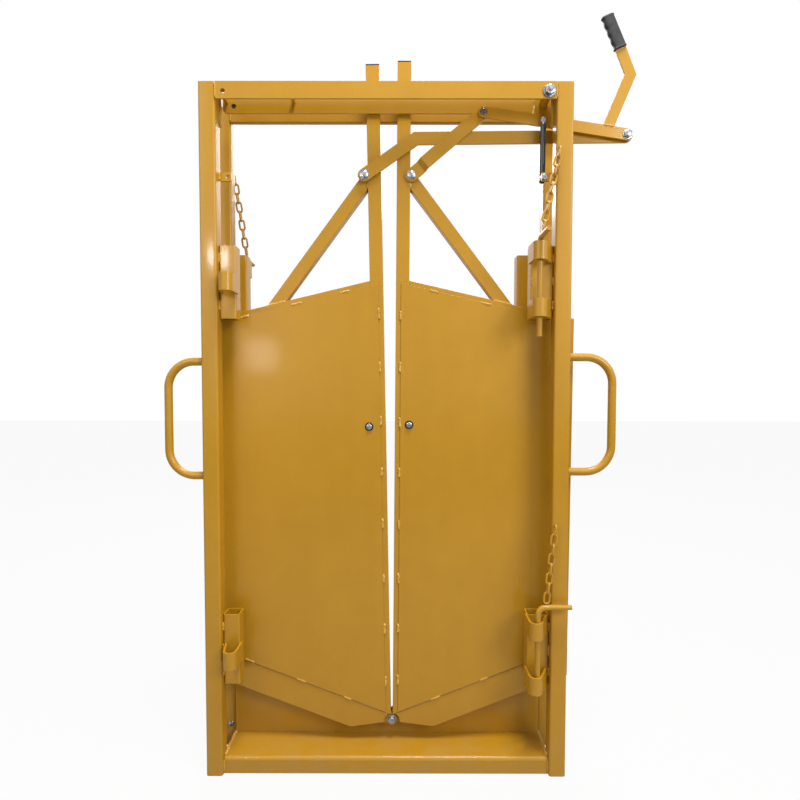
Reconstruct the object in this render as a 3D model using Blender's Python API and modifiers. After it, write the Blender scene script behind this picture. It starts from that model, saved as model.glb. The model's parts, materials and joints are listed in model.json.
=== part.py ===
"""In-line livestock gate: a four-post frame of square tube, two doors that swing
about one bottom pivot, and an overhead hand lever that draws them apart.

Metres, +Z up, X to the right, Y away from the operator. Depths are counted from
the front face of the front posts. The finished gate is then moved forward, so that
its origin is on the floor, under the middle of the sill's front flange.
"""

from math import asin, atan2, cos, hypot, pi, radians, sin, tan

import bmesh
import bpy
from mathutils import Matrix, Vector

# Fits between pieces
SEAT_GAP = 0.0003
RUNNING_GAP = 0.0004
FUSE = 0.0006

# Frame of square tube
FRAME_WIDTH = 0.8382
FRAME_HEIGHT = 1.5875
TUBE = 0.0381
TUBE_WALL = 0.0032
TUBE_RADIUS = 0.005
SLOT_DEPTH = 0.0762
INNER_FACE = FRAME_WIDTH / 2 - TUBE
REAR_FACE = TUBE + SLOT_DEPTH
FRAME_DEPTH = REAR_FACE + TUBE

# Sill and kick plate; the origin is under the middle of the sill's front flange
SILL_FRONT = 0.0095
SILL_DEPTH = 0.1334
SILL_HEIGHT = 0.0395
SILL_SHEET = 0.003
ORIGIN_DEPTH = SILL_FRONT + SILL_SHEET / 2
SILL_RADIUS = 0.008
KICK_THICKNESS = 0.0048
KICK_LOW = 0.099
KICK_HIGH = 0.200
KICK_SLOPE = radians(22)

# Depth of each layer that moves in the slot, from the front
STRUT_RADIUS = 0.00715
STRUT_DEPTH = TUBE + RUNNING_GAP + STRUT_RADIUS
LEVER_FRONT = STRUT_DEPTH + STRUT_RADIUS + RUNNING_GAP
LEVER_THICKNESS = 0.0048
LINK_THICKNESS = 0.0047
SHORT_LINK_FRONT = LEVER_FRONT + LEVER_THICKNESS + RUNNING_GAP
LONG_LINK_FRONT = SHORT_LINK_FRONT + LINK_THICKNESS + RUNNING_GAP
GUIDE_FRONT = LONG_LINK_FRONT + LINK_THICKNESS + RUNNING_GAP
GUIDE_THICKNESS = 0.0047
DOOR_FRONT = GUIDE_FRONT + GUIDE_THICKNESS + RUNNING_GAP
DOOR_TUBE = 0.03175
DOOR_WALL = 0.0025
DOOR_BACK = DOOR_FRONT + DOOR_TUBE
KICK_FRONT = DOOR_BACK + 0.0006

# Beams: an angle in front, open underneath, and a shallow tube behind
BEAM_LEG = 0.0048
BEAM_HOLE_RADIUS = 0.0055
REAR_BEAM_DEPTH = 0.0127
REAR_BEAM_WALL = 0.0025
REAR_BEAM_RADIUS = 0.003

# Guide bar behind the front beam
GUIDE_LEFT = -INNER_FACE - 0.0038
GUIDE_RIGHT = INNER_FACE - 0.0293
GUIDE_BEVEL = 0.012
GUIDE_CORNER = 0.012
LEVER_HOLE_X = INNER_FACE - 0.0175
GUIDE_HOLE_X = -LEVER_HOLE_X + 0.0045
GUIDE_BLOCKS = ((GUIDE_LEFT + 0.0058, GUIDE_LEFT + 0.0128), (GUIDE_LEFT + 0.1548, GUIDE_LEFT + 0.1798))
GUIDE_BLOCK_HEIGHT = 0.010

# Doors, in each door's own frame: x outward and z up from the pivot
PIVOT = Vector((0.0127, 0, 0.088))
LEFT_TILT = radians(1.04)
RIGHT_TILT = radians(0.40)
DOOR_EDGE = 0.002
DOOR_REACH = INNER_FACE + 0.047
LEFT_UPRIGHT_TOP = FRAME_HEIGHT + 0.0070
RIGHT_UPRIGHT_TOP = FRAME_HEIGHT + 0.0140
CAP_HEIGHT = 0.0025
CAP_CORNER = 0.001
CAP_TONGUE = 0.018
TOP_RAIL_HEIGHT = 1.082
TOP_RAIL_FALL = radians(12.5)
LOW_CORNER = (0.1016, -0.0127)
BOTTOM_RISE = radians(22)
BOTTOM_RAIL_DEPTH = 0.0635
TIP_HEIGHT = -0.0002
NOTCH_RADIUS = 0.020
EAR_RADIUS = 0.0138
EAR_THICKNESS = 0.005
EAR_END = (0.034, 0.010)
LEFT_EAR_FRONT = DOOR_FRONT + 0.0075
RIGHT_EAR_FRONT = LEFT_EAR_FRONT + EAR_THICKNESS + 0.003
SHEET_THICKNESS = 0.002
SHEET_INSET = 0.0127
SHEET_LOW_START = (0.016, 0.012)
SHEET_LOW_SLOPE = radians(21.9)
BRACE_TOP = (0.0339, TOP_RAIL_HEIGHT + 0.234)
BRACE_FOOT = (0.2558, TOP_RAIL_HEIGHT - 0.055)
BRACE_WIDTH = 0.030
BRACE_DEPTH = 0.0254
DOOR_BOLT_LEFT = (0.0415, 0.7265)
DOOR_BOLT_RIGHT = (0.0360, 0.7305)

# Pivot pin
PIN_RADIUS = 0.008
PIN_SHOULDER_RADIUS = 0.0125
PIN_HEAD_RADIUS = 0.0115
PIN_WASHER_RADIUS = 0.0150

# Hand lever, in the frame's X and Z
LEVER_PIVOT = (LEVER_HOLE_X, FRAME_HEIGHT - 0.0215)
LEVER_LEFT = (LEVER_HOLE_X - 0.1385, FRAME_HEIGHT - 0.0403)
LEVER_RIGHT = (LEVER_HOLE_X + 0.1960, FRAME_HEIGHT - 0.0918)
LEVER_WIDTH = 0.026
FLUSH_BOLT_RADIUS = 0.0085
LUG_RADIUS = 0.020
STUD_RADIUS = 0.0050
THREAD_RADIUS = 0.0044
BOSS_RADIUS = 0.010
WASHER_RADIUS = 0.0145
WASHER_THICKNESS = 0.0025
NUT_RADIUS = 0.011
NUT_THICKNESS = 0.008
ARM_POINTS = (
    (LEVER_HOLE_X + 0.1530, FRAME_HEIGHT - 0.0695),
    (LEVER_HOLE_X + 0.2005, FRAME_HEIGHT + 0.0445),
    (LEVER_HOLE_X + 0.1515, FRAME_HEIGHT + 0.1655),
)
ARM_WIDTH = 0.0250
ARM_THICKNESS = 0.0048
GRIP_LENGTH = 0.097
GRIP_WIDTH = 0.033
GRIP_THICKNESS = 0.014
GRIP_WALL = 0.004
GRIP_WAVES = 4
GRIP_WAVE_DEPTH = 0.0014

# Links from the lever to the doors
LONG_LINK_BEND = (0.0684, FRAME_HEIGHT - 0.0970)
LINK_WIDTH = 0.030
BOLT_HOLE_RADIUS = 0.0052
BOLT_RADIUS = 0.0048
BOLT_HEAD_RADIUS = 0.0098
BOLT_HEAD_THICKNESS = 0.0050
LEFT_DOOR_BOLT = (-0.0531, FRAME_HEIGHT - 0.1815)
RIGHT_DOOR_BOLT = (0.0580, FRAME_HEIGHT - 0.1803)
JOGGLE_START = 0.030
JOGGLE_LENGTH = 0.010
JOGGLE_DEPTH = 0.0100

# Gas strut between the right post's tab and the lever
STRUT_FOOT = (INNER_FACE - 0.0204, FRAME_HEIGHT - 0.2004)
STRUT_HEAD = (INNER_FACE - 0.0197, FRAME_HEIGHT - 0.0638)
STRUT_ROD_RADIUS = 0.0030
STRUT_START = 0.013
STRUT_LENGTH = 0.112
STRUT_SHELL = 0.0012
STRUT_EYE_RADIUS = 0.0075
STRUT_EYE_THICKNESS = 0.0058
TAB_FRONT = 0.0262
TAB_THICKNESS = 0.0048
TAB_INNER = INNER_FACE - 0.027
TAB_LOW = STRUT_FOOT[1] - 0.0091
TAB_HIGH = STRUT_FOOT[1] + 0.0109

# Carry handles on the outer sides
HANDLE_BAR = 0.0185
HANDLE_DEPTH = 0.019
HANDLE_BEND = 0.060
LEFT_HANDLE_REACH = 0.0919
LEFT_HANDLE_LOW = 0.703
LEFT_HANDLE_HIGH = 0.967
RIGHT_HANDLE_REACH = 0.1109
RIGHT_HANDLE_LOW = 0.713
RIGHT_HANDLE_HIGH = 0.978

# Pin sockets: a tube against each post, with straps looped round a drop pin
SOCKET_LENGTH = 0.1651
SOCKET_DEPTH = 0.0381
SOCKET_WALL = 0.0030
SOCKET_TOP = FRAME_HEIGHT - 0.5227
SOCKET_BOTTOM = 0.2120
FRONT_SOCKET_Y = 0.0160
REAR_SOCKET_Y = DOOR_BACK + 0.002
SOCKET_WIDTHS = {"fl": 0.0381, "fr": 0.0508, "rl": 0.0381, "rr": 0.0635}
SOCKET_SINGLE = {"fl": True, "fr": False, "rl": False, "rr": True}
STRAP_THICKNESS = 0.005
STRAP_HEIGHT = 0.040
STRAP_NOSE_RADIUS = 0.0135
STRAP_NOSE_REACH = 0.036
STRAP_TAIL = 0.009
STRAP_WIDTHS = {
    "fl": SOCKET_WIDTHS["fl"],
    "fr": SOCKET_WIDTHS["fr"],
    "rl": SOCKET_WIDTHS["rl"] - 0.0120,
    "rr": SOCKET_WIDTHS["rr"] - 0.0135,
}
STRAP_HEEL = 0.006
SINGLE_STRAP_LIFT = 0.0565

# Drop pins and their chains
DROP_PIN = 0.0127
DROP_PIN_DROP = 0.0440
LOWER_PIN_RAISED = 0.0240
DROP_PIN_ARM = 0.076
DROP_PIN_BEND = 0.018
CHAIN_WIRE = 0.0048
CHAIN_LINK = 0.0300
CHAIN_LINK_WIDTH = 0.0170
CHAIN_OVERLAP = 0.0014
CHAIN_PITCH = CHAIN_LINK - 2 * CHAIN_WIRE + CHAIN_OVERLAP
UPPER_CHAIN_LINKS = 9
LOWER_CHAIN_LINKS = 8
CHAIN_POST_INSET = 0.0060

PAINT = (0.694, 0.342, 0.043)
ZINC = (0.56, 0.57, 0.60)
BLACK = (0.016, 0.016, 0.017)


def material(name, colour, roughness, metallic):
    """A Principled material of one colour."""
    made = bpy.data.materials.new(name)
    made.use_nodes = True
    shader = made.node_tree.nodes["Principled BSDF"]
    shader.inputs["Base Color"].default_value = (*colour, 1)
    shader.inputs["Roughness"].default_value = roughness
    shader.inputs["Metallic"].default_value = metallic
    return made


def add(name, data, finish=None):
    """A new object in the gate's collection."""
    obj = bpy.data.objects.new(name, data)
    GATE.objects.link(obj)
    if finish is not None:
        obj.data.materials.clear()
        obj.data.materials.append(finish)
    return obj


def remove(obj):
    bpy.data.objects.remove(obj, do_unlink=True)


def bake(obj):
    """The object as a plain mesh with its place in the mesh, and its seams closed."""
    bpy.context.view_layer.update()
    graph = bpy.context.evaluated_depsgraph_get()
    mesh = bpy.data.meshes.new_from_object(obj.evaluated_get(graph))
    mesh.transform(obj.matrix_world)
    shape = bmesh.new()
    shape.from_mesh(mesh)
    bmesh.ops.remove_doubles(shape, verts=shape.verts, dist=1e-6)
    bmesh.ops.recalc_face_normals(shape, faces=shape.faces)
    shape.to_mesh(mesh)
    shape.free()
    name = obj.name
    finish = obj.data.materials[0] if obj.data.materials else None
    remove(obj)
    return add(name, mesh, finish)


def combine(target, tools, operation):
    """Join the tools to the target, or cut them from it, and remove them."""
    for tool in tools:
        step = target.modifiers.new(operation.lower(), "BOOLEAN")
        step.operation = operation
        step.object = tool
    made = bake(target)
    for tool in tools:
        remove(tool)
    return made


def union(target, *tools):
    return combine(target, tools, "UNION")


def cut(target, *tools):
    return combine(target, tools, "DIFFERENCE")


def arc(centre, radius, start, end, steps):
    """Points along an arc, angles in radians from the first axis."""
    return [
        (
            centre[0] + radius * cos(start + (end - start) * i / steps),
            centre[1] + radius * sin(start + (end - start) * i / steps),
        )
        for i in range(steps + 1)
    ]


def circle(centre, radius, sides=24):
    return arc(centre, radius, 0, 2 * pi, sides)[:-1]


def rounded(points, radius, steps=3):
    """A closed outline with each corner replaced by an arc of one radius."""
    made = []
    for i, corner in enumerate(points):
        here = Vector(corner)
        back = (Vector(points[i - 1]) - here).normalized()
        ahead = (Vector(points[(i + 1) % len(points)]) - here).normalized()
        half = back.angle(ahead) / 2
        reach = radius / tan(half)
        middle = here + (back + ahead).normalized() * (radius / sin(half))
        first = here + back * reach - middle
        last = here + ahead * reach - middle
        turn = atan2(first.x * last.y - first.y * last.x, first.dot(last))
        start = atan2(first.y, first.x)
        made += arc(middle, radius, start, start + turn, steps)
    return made


def rectangle(low, high):
    return [(low[0], low[1]), (high[0], low[1]), (high[0], high[1]), (low[0], high[1])]


def capsule(start, end, radius, steps=8):
    """The outline of a bar with round ends, from one centre to another."""
    heading = atan2(end[1] - start[1], end[0] - start[0])
    quarter = pi / 2
    return arc(end, radius, heading - quarter, heading + quarter, steps) + arc(
        start, radius, heading + quarter, heading + 3 * quarter, steps
    )


def extrude(name, outlines, thickness, turn, place, finish):
    """A flat 2D curve, its inner outlines as holes, extruded to a thickness about its plane."""
    curve = bpy.data.curves.new(name, "CURVE")
    curve.dimensions = "2D"
    curve.fill_mode = "BOTH"
    curve.extrude = thickness / 2
    for outline in outlines:
        spline = curve.splines.new("POLY")
        spline.points.add(len(outline) - 1)
        for point, (x, y) in zip(spline.points, outline):
            point.co = (x, y, 0, 1)
        spline.use_cyclic_u = True
    obj = add(name, curve, finish)
    obj.matrix_world = Matrix.Translation(place) @ turn
    return bake(obj)


FACING = Matrix.Rotation(pi / 2, 4, "X")
ALONG_X = Matrix(((0, 0, 1, 0), (1, 0, 0, 0), (0, 1, 0, 0), (0, 0, 0, 1)))
ALONG_Z = Matrix.Identity(4)


def plate(name, outline, front, thickness, finish, holes=()):
    """A flat plate with its outline in X and Z, from its front face backwards."""
    middle = front + thickness / 2
    return extrude(name, [outline, *holes], thickness, FACING, (0, middle, 0), finish)


def bar_along(name, profiles, turn, start, end, finish):
    """A bar of a constant profile along X or Z, between two stations."""
    middle = (start + end) / 2
    place = (middle, 0, 0) if turn is ALONG_X else (0, 0, middle)
    return extrude(name, profiles, end - start, turn, place, finish)


def tube_profile(low, high, radius, wall):
    """Outer and inner outlines of a square tube."""
    inner_low = (low[0] + wall, low[1] + wall)
    inner_high = (high[0] - wall, high[1] - wall)
    inner_radius = max(radius - wall, 0.0008)
    return [
        rounded(rectangle(low, high), radius),
        rounded(rectangle(inner_low, inner_high), inner_radius, 2),
    ]


def rod(name, place, heading, profile, finish, sides=24):
    """A turned piece: (radius, distance) pairs run back from its far end."""
    mesh = bpy.data.meshes.new(name)
    shape = bmesh.new()
    points = [shape.verts.new((radius, 0, distance)) for radius, distance in profile]
    for first, second in zip(points, points[1:]):
        shape.edges.new((first, second))
    shape.to_mesh(mesh)
    shape.free()
    obj = add(name, mesh, finish)
    screw = obj.modifiers.new("turn", "SCREW")
    screw.steps = sides
    screw.render_steps = sides
    screw.use_merge_vertices = True
    screw.merge_threshold = 0.00001
    turn = Vector(heading).to_track_quat("Z", "Y").to_matrix().to_4x4()
    obj.matrix_world = Matrix.Translation(place) @ turn
    return bake(obj)


def drum(name, place, heading, radius, length, finish, sides=24):
    """A plain cylinder that starts at a place and runs along a heading."""
    ends = [(0, length), (radius, length), (radius, 0), (0, 0)]
    return rod(name, place, heading, ends, finish, sides)


def block(name, low, high, finish):
    """A plain box between two corners."""
    middle = (Vector(low) + Vector(high)) / 2
    size = Vector(high) - Vector(low)
    shape = bmesh.new()
    bmesh.ops.create_cube(shape, size=1, matrix=Matrix.Diagonal((*size, 1)))
    mesh = bpy.data.meshes.new(name)
    shape.to_mesh(mesh)
    shape.free()
    obj = add(name, mesh, finish)
    obj.location = middle
    return bake(obj)


def wire(name, points, radius, finish, cyclic=False, sides=2):
    """A round bar along a list of points."""
    curve = bpy.data.curves.new(name, "CURVE")
    curve.dimensions = "3D"
    curve.bevel_depth = radius
    curve.bevel_resolution = sides
    curve.use_fill_caps = not cyclic
    spline = curve.splines.new("POLY")
    spline.points.add(len(points) - 1)
    for point, place in zip(spline.points, points):
        point.co = (*place, 1)
    spline.use_cyclic_u = cyclic
    return bake(add(name, curve, finish))


def hexagon(centre, radius):
    return arc(centre, radius, 0, 2 * pi, 6)[:-1]


def settle(obj, pivot=None, holder=None):
    """Put the object's origin at its pivot, hang it from its holder and shade its round faces smooth."""
    if pivot is not None:
        obj.data.transform(Matrix.Translation(-Vector(pivot)))
        obj.location = pivot
    if holder is not None:
        bpy.context.view_layer.update()
        obj.parent = holder
        obj.matrix_parent_inverse = holder.matrix_world.inverted()
    obj.data.shade_smooth()
    obj.data.set_sharp_from_angle(angle=radians(35))
    return obj


def carrier(name, place, turn=None):
    """An empty on a joint's axis, which carries the pieces of one moving body."""
    empty = bpy.data.objects.new(name, None)
    GATE.objects.link(empty)
    empty.empty_display_size = 0.05
    empty.matrix_world = Matrix.Translation(place) @ (turn or Matrix.Identity(4))
    return empty


def build_posts():
    """Four posts of square tube, closed on top by a welded plate."""
    for row, front in (("front", 0), ("rear", REAR_FACE)):
        for side, sign in (("left", -1), ("right", 1)):
            near, far = sorted((sign * INNER_FACE, sign * FRAME_WIDTH / 2))
            profile = tube_profile((near, front), (far, front + TUBE), TUBE_RADIUS, TUBE_WALL)
            post = bar_along(f"post_{row}_{side}", profile, ALONG_Z, 0, FRAME_HEIGHT, PAINTED)
            lid = rounded(
                rectangle(
                    (near + TUBE_WALL / 2, front + TUBE_WALL / 2),
                    (far - TUBE_WALL / 2, front + TUBE - TUBE_WALL / 2),
                ),
                TUBE_RADIUS - TUBE_WALL / 2,
            )
            top = bar_along(
                "lid", [lid], ALONG_Z, FRAME_HEIGHT - TUBE_WALL - 0.001, FRAME_HEIGHT - 0.001, PAINTED
            )
            settle(union(post, top))


def build_beams():
    """Top beams between the posts; the front one is drilled for the lever on either side."""
    reach = INNER_FACE - SEAT_GAP
    low, high = FRAME_HEIGHT - TUBE, FRAME_HEIGHT
    angle = [
        (0, low), (BEAM_LEG, low), (BEAM_LEG, high - BEAM_LEG),
        (TUBE, high - BEAM_LEG), (TUBE, high), (0, high),
    ]
    beam = bar_along("beam_front", [angle], ALONG_X, -reach, reach, PAINTED)
    drills = [
        drum("drill", (side * LEVER_HOLE_X, -BEAM_LEG, LEVER_PIVOT[1]), (0, 1, 0),
             BEAM_HOLE_RADIUS, 3 * BEAM_LEG, PAINTED)
        for side in (-1, 1)
    ]
    settle(cut(beam, *drills))
    profile = tube_profile(
        (REAR_FACE, low), (REAR_FACE + REAR_BEAM_DEPTH, high), REAR_BEAM_RADIUS, REAR_BEAM_WALL
    )
    settle(bar_along("beam_rear", profile, ALONG_X, -reach, reach, PAINTED))


def build_sill():
    """A formed channel, open side down, that the animals step over."""
    reach = INNER_FACE - SEAT_GAP
    back = SILL_FRONT + SILL_DEPTH
    inner = SILL_RADIUS - SILL_SHEET
    quarter = pi / 2
    outer_front = (SILL_FRONT + SILL_RADIUS, SILL_HEIGHT - SILL_RADIUS)
    outer_back = (back - SILL_RADIUS, SILL_HEIGHT - SILL_RADIUS)
    outline = (
        [(SILL_FRONT, 0)]
        + arc(outer_front, SILL_RADIUS, 2 * quarter, quarter, 4)
        + arc(outer_back, SILL_RADIUS, quarter, 0, 4)
        + [(back, 0), (back - SILL_SHEET, 0)]
        + arc(outer_back, inner, 0, quarter, 4)
        + arc(outer_front, inner, quarter, 2 * quarter, 4)
        + [(SILL_FRONT + SILL_SHEET, 0)]
    )
    settle(bar_along("sill", [outline], ALONG_X, -reach, reach, PAINTED))


def build_kick_plate():
    """The plate behind the doors' feet, its top edge a shallow V, drilled for the pivot pin."""
    reach = INNER_FACE - SEAT_GAP
    foot = SILL_HEIGHT + SEAT_GAP
    shoulder = (KICK_HIGH - KICK_LOW) / tan(KICK_SLOPE)
    outline = [
        (-reach, foot),
        (reach, foot),
        (reach, KICK_HIGH),
        (shoulder, KICK_HIGH),
        (0, KICK_LOW),
        (-shoulder, KICK_HIGH),
        (-reach, KICK_HIGH),
    ]
    hole = circle((PIVOT.x, PIVOT.z), PIN_RADIUS + SEAT_GAP)
    settle(plate("kick_plate", outline, KICK_FRONT, KICK_THICKNESS, PAINTED, [hole]))


def build_pivot_pin():
    """The one pin that both doors turn on, with a washer and head in front and a nut behind."""
    right_ear_back = RIGHT_EAR_FRONT + EAR_THICKNESS
    behind = KICK_FRONT + KICK_THICKNESS + SEAT_GAP
    washer_back = LEFT_EAR_FRONT - SEAT_GAP
    washer_front = washer_back - 0.0025
    head_front = washer_front - 0.0065
    profile = [
        (0, head_front),
        (PIN_HEAD_RADIUS - 0.0015, head_front),
        (PIN_HEAD_RADIUS, head_front + 0.0015),
        (PIN_HEAD_RADIUS, washer_front),
        (PIN_WASHER_RADIUS, washer_front),
        (PIN_WASHER_RADIUS, washer_back),
        (PIN_RADIUS, washer_back),
        (PIN_RADIUS, right_ear_back + SEAT_GAP),
        (PIN_SHOULDER_RADIUS, right_ear_back + SEAT_GAP),
        (PIN_SHOULDER_RADIUS, KICK_FRONT - SEAT_GAP),
        (PIN_RADIUS, KICK_FRONT - SEAT_GAP),
        (PIN_RADIUS, behind),
        (PIN_SHOULDER_RADIUS, behind),
        (PIN_SHOULDER_RADIUS, behind + 0.006),
        (0, behind + 0.006),
    ]
    pin = rod("pivot_pin", (PIVOT.x, 0, PIVOT.z), (0, 1, 0), profile[::-1], ZINCED, 18)
    settle(pin)


def build_guide_bar():
    """The flat bar that keeps the doors' tops in their plane, on two blocks behind the beam."""
    low, high = FRAME_HEIGHT - TUBE, FRAME_HEIGHT
    corner = (GUIDE_LEFT + GUIDE_CORNER, low + GUIDE_CORNER)
    outline = arc(corner, GUIDE_CORNER, pi, 1.5 * pi, 5) + [
        (GUIDE_RIGHT - GUIDE_BEVEL, low),
        (GUIDE_RIGHT, high),
        (GUIDE_LEFT, high),
    ]
    hole = circle((GUIDE_HOLE_X, LEVER_PIVOT[1]), BEAM_HOLE_RADIUS)
    guide = plate("guide_bar", outline, GUIDE_FRONT, GUIDE_THICKNESS, PAINTED, [hole])
    blocks = [
        block(
            "guide_block",
            (left, BEAM_LEG + SEAT_GAP, high - BEAM_LEG - SEAT_GAP - GUIDE_BLOCK_HEIGHT),
            (right, GUIDE_FRONT + FUSE, high - BEAM_LEG - SEAT_GAP),
            PAINTED,
        )
        for left, right in GUIDE_BLOCKS
    ]
    settle(union(guide, *blocks))


def build_tabs():
    """Drilled tabs inside both front posts, so that the strut fits either side."""
    for side, sign in (("left", -1), ("right", 1)):
        near, far = sorted((sign * TAB_INNER, sign * (INNER_FACE - SEAT_GAP)))
        outline = rounded(rectangle((near, TAB_LOW), (far, TAB_HIGH)), 0.003)
        hole = circle((sign * STRUT_FOOT[0], STRUT_FOOT[1]), BOLT_HOLE_RADIUS)
        settle(plate(f"strut_tab_{side}", outline, TAB_FRONT, TAB_THICKNESS, PAINTED, [hole]))


def build_carry_handles():
    """A bent bar on each outer side, its ends welded to the front post."""
    start = FRAME_WIDTH / 2 + SEAT_GAP
    for side, sign, stand, low, high in (
        ("left", -1, LEFT_HANDLE_REACH, LEFT_HANDLE_LOW, LEFT_HANDLE_HIGH),
        ("right", 1, RIGHT_HANDLE_REACH, RIGHT_HANDLE_LOW, RIGHT_HANDLE_HIGH),
    ):
        reach = FRAME_WIDTH / 2 + stand - HANDLE_BAR / 2
        quarter = pi / 2
        lower = arc((reach - HANDLE_BEND, low + HANDLE_BEND), HANDLE_BEND, -quarter, 0, 7)
        upper = arc((reach - HANDLE_BEND, high - HANDLE_BEND), HANDLE_BEND, 0, quarter, 7)
        route = [(start, low)] + lower + upper + [(start, high)]
        points = [(sign * x, HANDLE_DEPTH, z) for x, z in route]
        settle(wire(f"carry_handle_{side}", points, HANDLE_BAR / 2, PAINTED, sides=3))


def strap_path(width, tail):
    """The centre line of a strap, in distance inboard and distance forward of the tube's face."""
    straight = width + STRAP_THICKNESS / 2 - FUSE
    centre = (straight - STRAP_NOSE_RADIUS, STRAP_NOSE_REACH)
    nose = arc(centre, STRAP_NOSE_RADIUS, 0, strap_lean(width), 10)
    return [(straight, -tail)] + nose + [(STRAP_HEEL, -FUSE)]


def build_strap(place, low):
    """One strap: an open ribbon given its thickness, looped round the drop pin."""
    width, tail, sign, face, forward = place
    mesh = bpy.data.meshes.new("strap")
    shape = bmesh.new()
    low_row = []
    for inboard, ahead in strap_path(width, tail):
        x = sign * (INNER_FACE - SEAT_GAP - inboard)
        low_row.append(shape.verts.new((x, face + forward * ahead, low)))
    edges = [shape.edges.new(pair) for pair in zip(low_row, low_row[1:])]
    raised = bmesh.ops.extrude_edge_only(shape, edges=edges)["geom"]
    high_row = [item for item in raised if isinstance(item, bmesh.types.BMVert)]
    bmesh.ops.translate(shape, verts=high_row, vec=(0, 0, STRAP_HEIGHT))
    shape.to_mesh(mesh)
    shape.free()
    strap = add("strap", mesh, PAINTED)
    thicken = strap.modifiers.new("thickness", "SOLIDIFY")
    thicken.thickness = STRAP_THICKNESS
    thicken.offset = 0
    thicken.use_even_offset = True
    return bake(strap)


def build_socket(key, level, low):
    """A socket tube with its one or two straps."""
    row = "front" if key[0] == "f" else "rear"
    side = "left" if key[1] == "l" else "right"
    sign = -1 if side == "left" else 1
    width = SOCKET_WIDTHS[key]
    near, far = sorted((sign * (INNER_FACE - SEAT_GAP), sign * (INNER_FACE - SEAT_GAP - width)))
    start = FRONT_SOCKET_Y if row == "front" else REAR_SOCKET_Y
    profile = tube_profile((near, start), (far, start + SOCKET_DEPTH), 0.004, SOCKET_WALL)
    tube = bar_along(
        f"socket_{row}_{side}_{level}", profile, ALONG_Z, low, low + SOCKET_LENGTH, PAINTED
    )
    face, forward = (start, -1) if row == "front" else (start + SOCKET_DEPTH, 1)
    tail = STRAP_TAIL if STRAP_WIDTHS[key] == width else FUSE
    place = (STRAP_WIDTHS[key], tail, sign, face, forward)
    if SOCKET_SINGLE[key]:
        heights = [low + SINGLE_STRAP_LIFT]
    else:
        heights = [low, low + SOCKET_LENGTH - STRAP_HEIGHT]
    settle(union(tube, *(build_strap(place, height) for height in heights)))


def strap_lean(width):
    """The direction, in distance inboard and forward, in which the strap's slanted leg faces its nose centre."""
    straight = width + STRAP_THICKNESS / 2 - FUSE
    away = Vector((straight - STRAP_NOSE_RADIUS - STRAP_HEEL, STRAP_NOSE_REACH + FUSE))
    return atan2(away.y, away.x) + pi / 2 + asin(STRAP_NOSE_RADIUS / away.length)


def pin_centre(key, leaning):
    """Where a drop pin stands in its straps: in the nose's middle, or leaning on the slanted leg."""
    sign = -1 if key[1] == "l" else 1
    width = STRAP_WIDTHS[key]
    inboard = width + STRAP_THICKNESS / 2 - FUSE - STRAP_NOSE_RADIUS
    ahead = STRAP_NOSE_REACH
    if leaning:
        play = STRAP_NOSE_RADIUS - STRAP_THICKNESS / 2 - DROP_PIN / 2 - SEAT_GAP
        inboard += play * cos(strap_lean(width))
        ahead += play * sin(strap_lean(width))
    x = sign * (INNER_FACE - SEAT_GAP - inboard)
    if key[0] == "f":
        return x, FRONT_SOCKET_Y - ahead
    return x, REAR_SOCKET_Y + SOCKET_DEPTH + ahead


def build_drop_pin(key, level, low, arm, raised):
    """An L-shaped drop pin that stands in the straps and rests with its bend on the upper strap."""
    row = "front" if key[0] == "f" else "rear"
    x, y = pin_centre(key, raised > 0)
    inner_bend = DROP_PIN_BEND - DROP_PIN / 2
    nose_inside = STRAP_NOSE_RADIUS - STRAP_THICKNESS / 2
    under = DROP_PIN_BEND - (inner_bend**2 - (DROP_PIN_BEND - nose_inside) ** 2) ** 0.5
    elbow = low + SOCKET_LENGTH + under + SEAT_GAP + raised
    foot = low - DROP_PIN_DROP + raised
    bend = arc((DROP_PIN_BEND, elbow - DROP_PIN_BEND), DROP_PIN_BEND, pi, pi / 2, 6)
    route = [(0, foot)] + bend + [(DROP_PIN_ARM, elbow)]
    points = [(x + arm[0] * along, y + arm[1] * along, z) for along, z in route]
    pin = wire(f"drop_pin_{row}_{level}", points, DROP_PIN / 2, PAINTED)
    holder = carrier(f"pin_lift_{row}_{level}", (x, y, elbow))
    settle(pin, holder=holder)
    top_of_arm = elbow + DROP_PIN / 2 + SEAT_GAP
    return Vector((x + arm[0] * DROP_PIN_BEND, y + arm[1] * DROP_PIN_BEND, top_of_arm))


def build_chain(name, start, end, count):
    """Oval links along a straight hang, each turned a quarter from the last and welded to it."""
    heading = (end - start).normalized()
    flat = heading.cross(Vector((0, 1, 0))).normalized()
    upright = heading.cross(flat)
    half = (CHAIN_LINK - CHAIN_LINK_WIDTH) / 2
    bend = (CHAIN_LINK_WIDTH - CHAIN_WIRE) / 2
    ring = arc((half, 0), bend, -pi / 2, pi / 2, 3) + arc((-half, 0), bend, pi / 2, 1.5 * pi, 3)
    links = []
    for i in range(count):
        across = flat if (count - 1 - i) % 2 else upright
        middle = start + heading * (CHAIN_LINK / 2 + CHAIN_PITCH * i)
        points = [middle + heading * along + across * out for along, out in ring]
        links.append(wire(name, points, CHAIN_WIRE / 2, PAINTED, cyclic=True, sides=1))
    chain = union(links[0], *links[1:])
    chain.name = name
    settle(chain)


def chain_standoff(slope):
    """How far a chain's end stands off the post when its last link's side lies against it."""
    corner = CHAIN_LINK_WIDTH / 2
    side = (CHAIN_LINK_WIDTH - CHAIN_WIRE) / 2
    return CHAIN_WIRE / 2 + side * cos(asin(slope)) - corner * slope + SEAT_GAP


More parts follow.
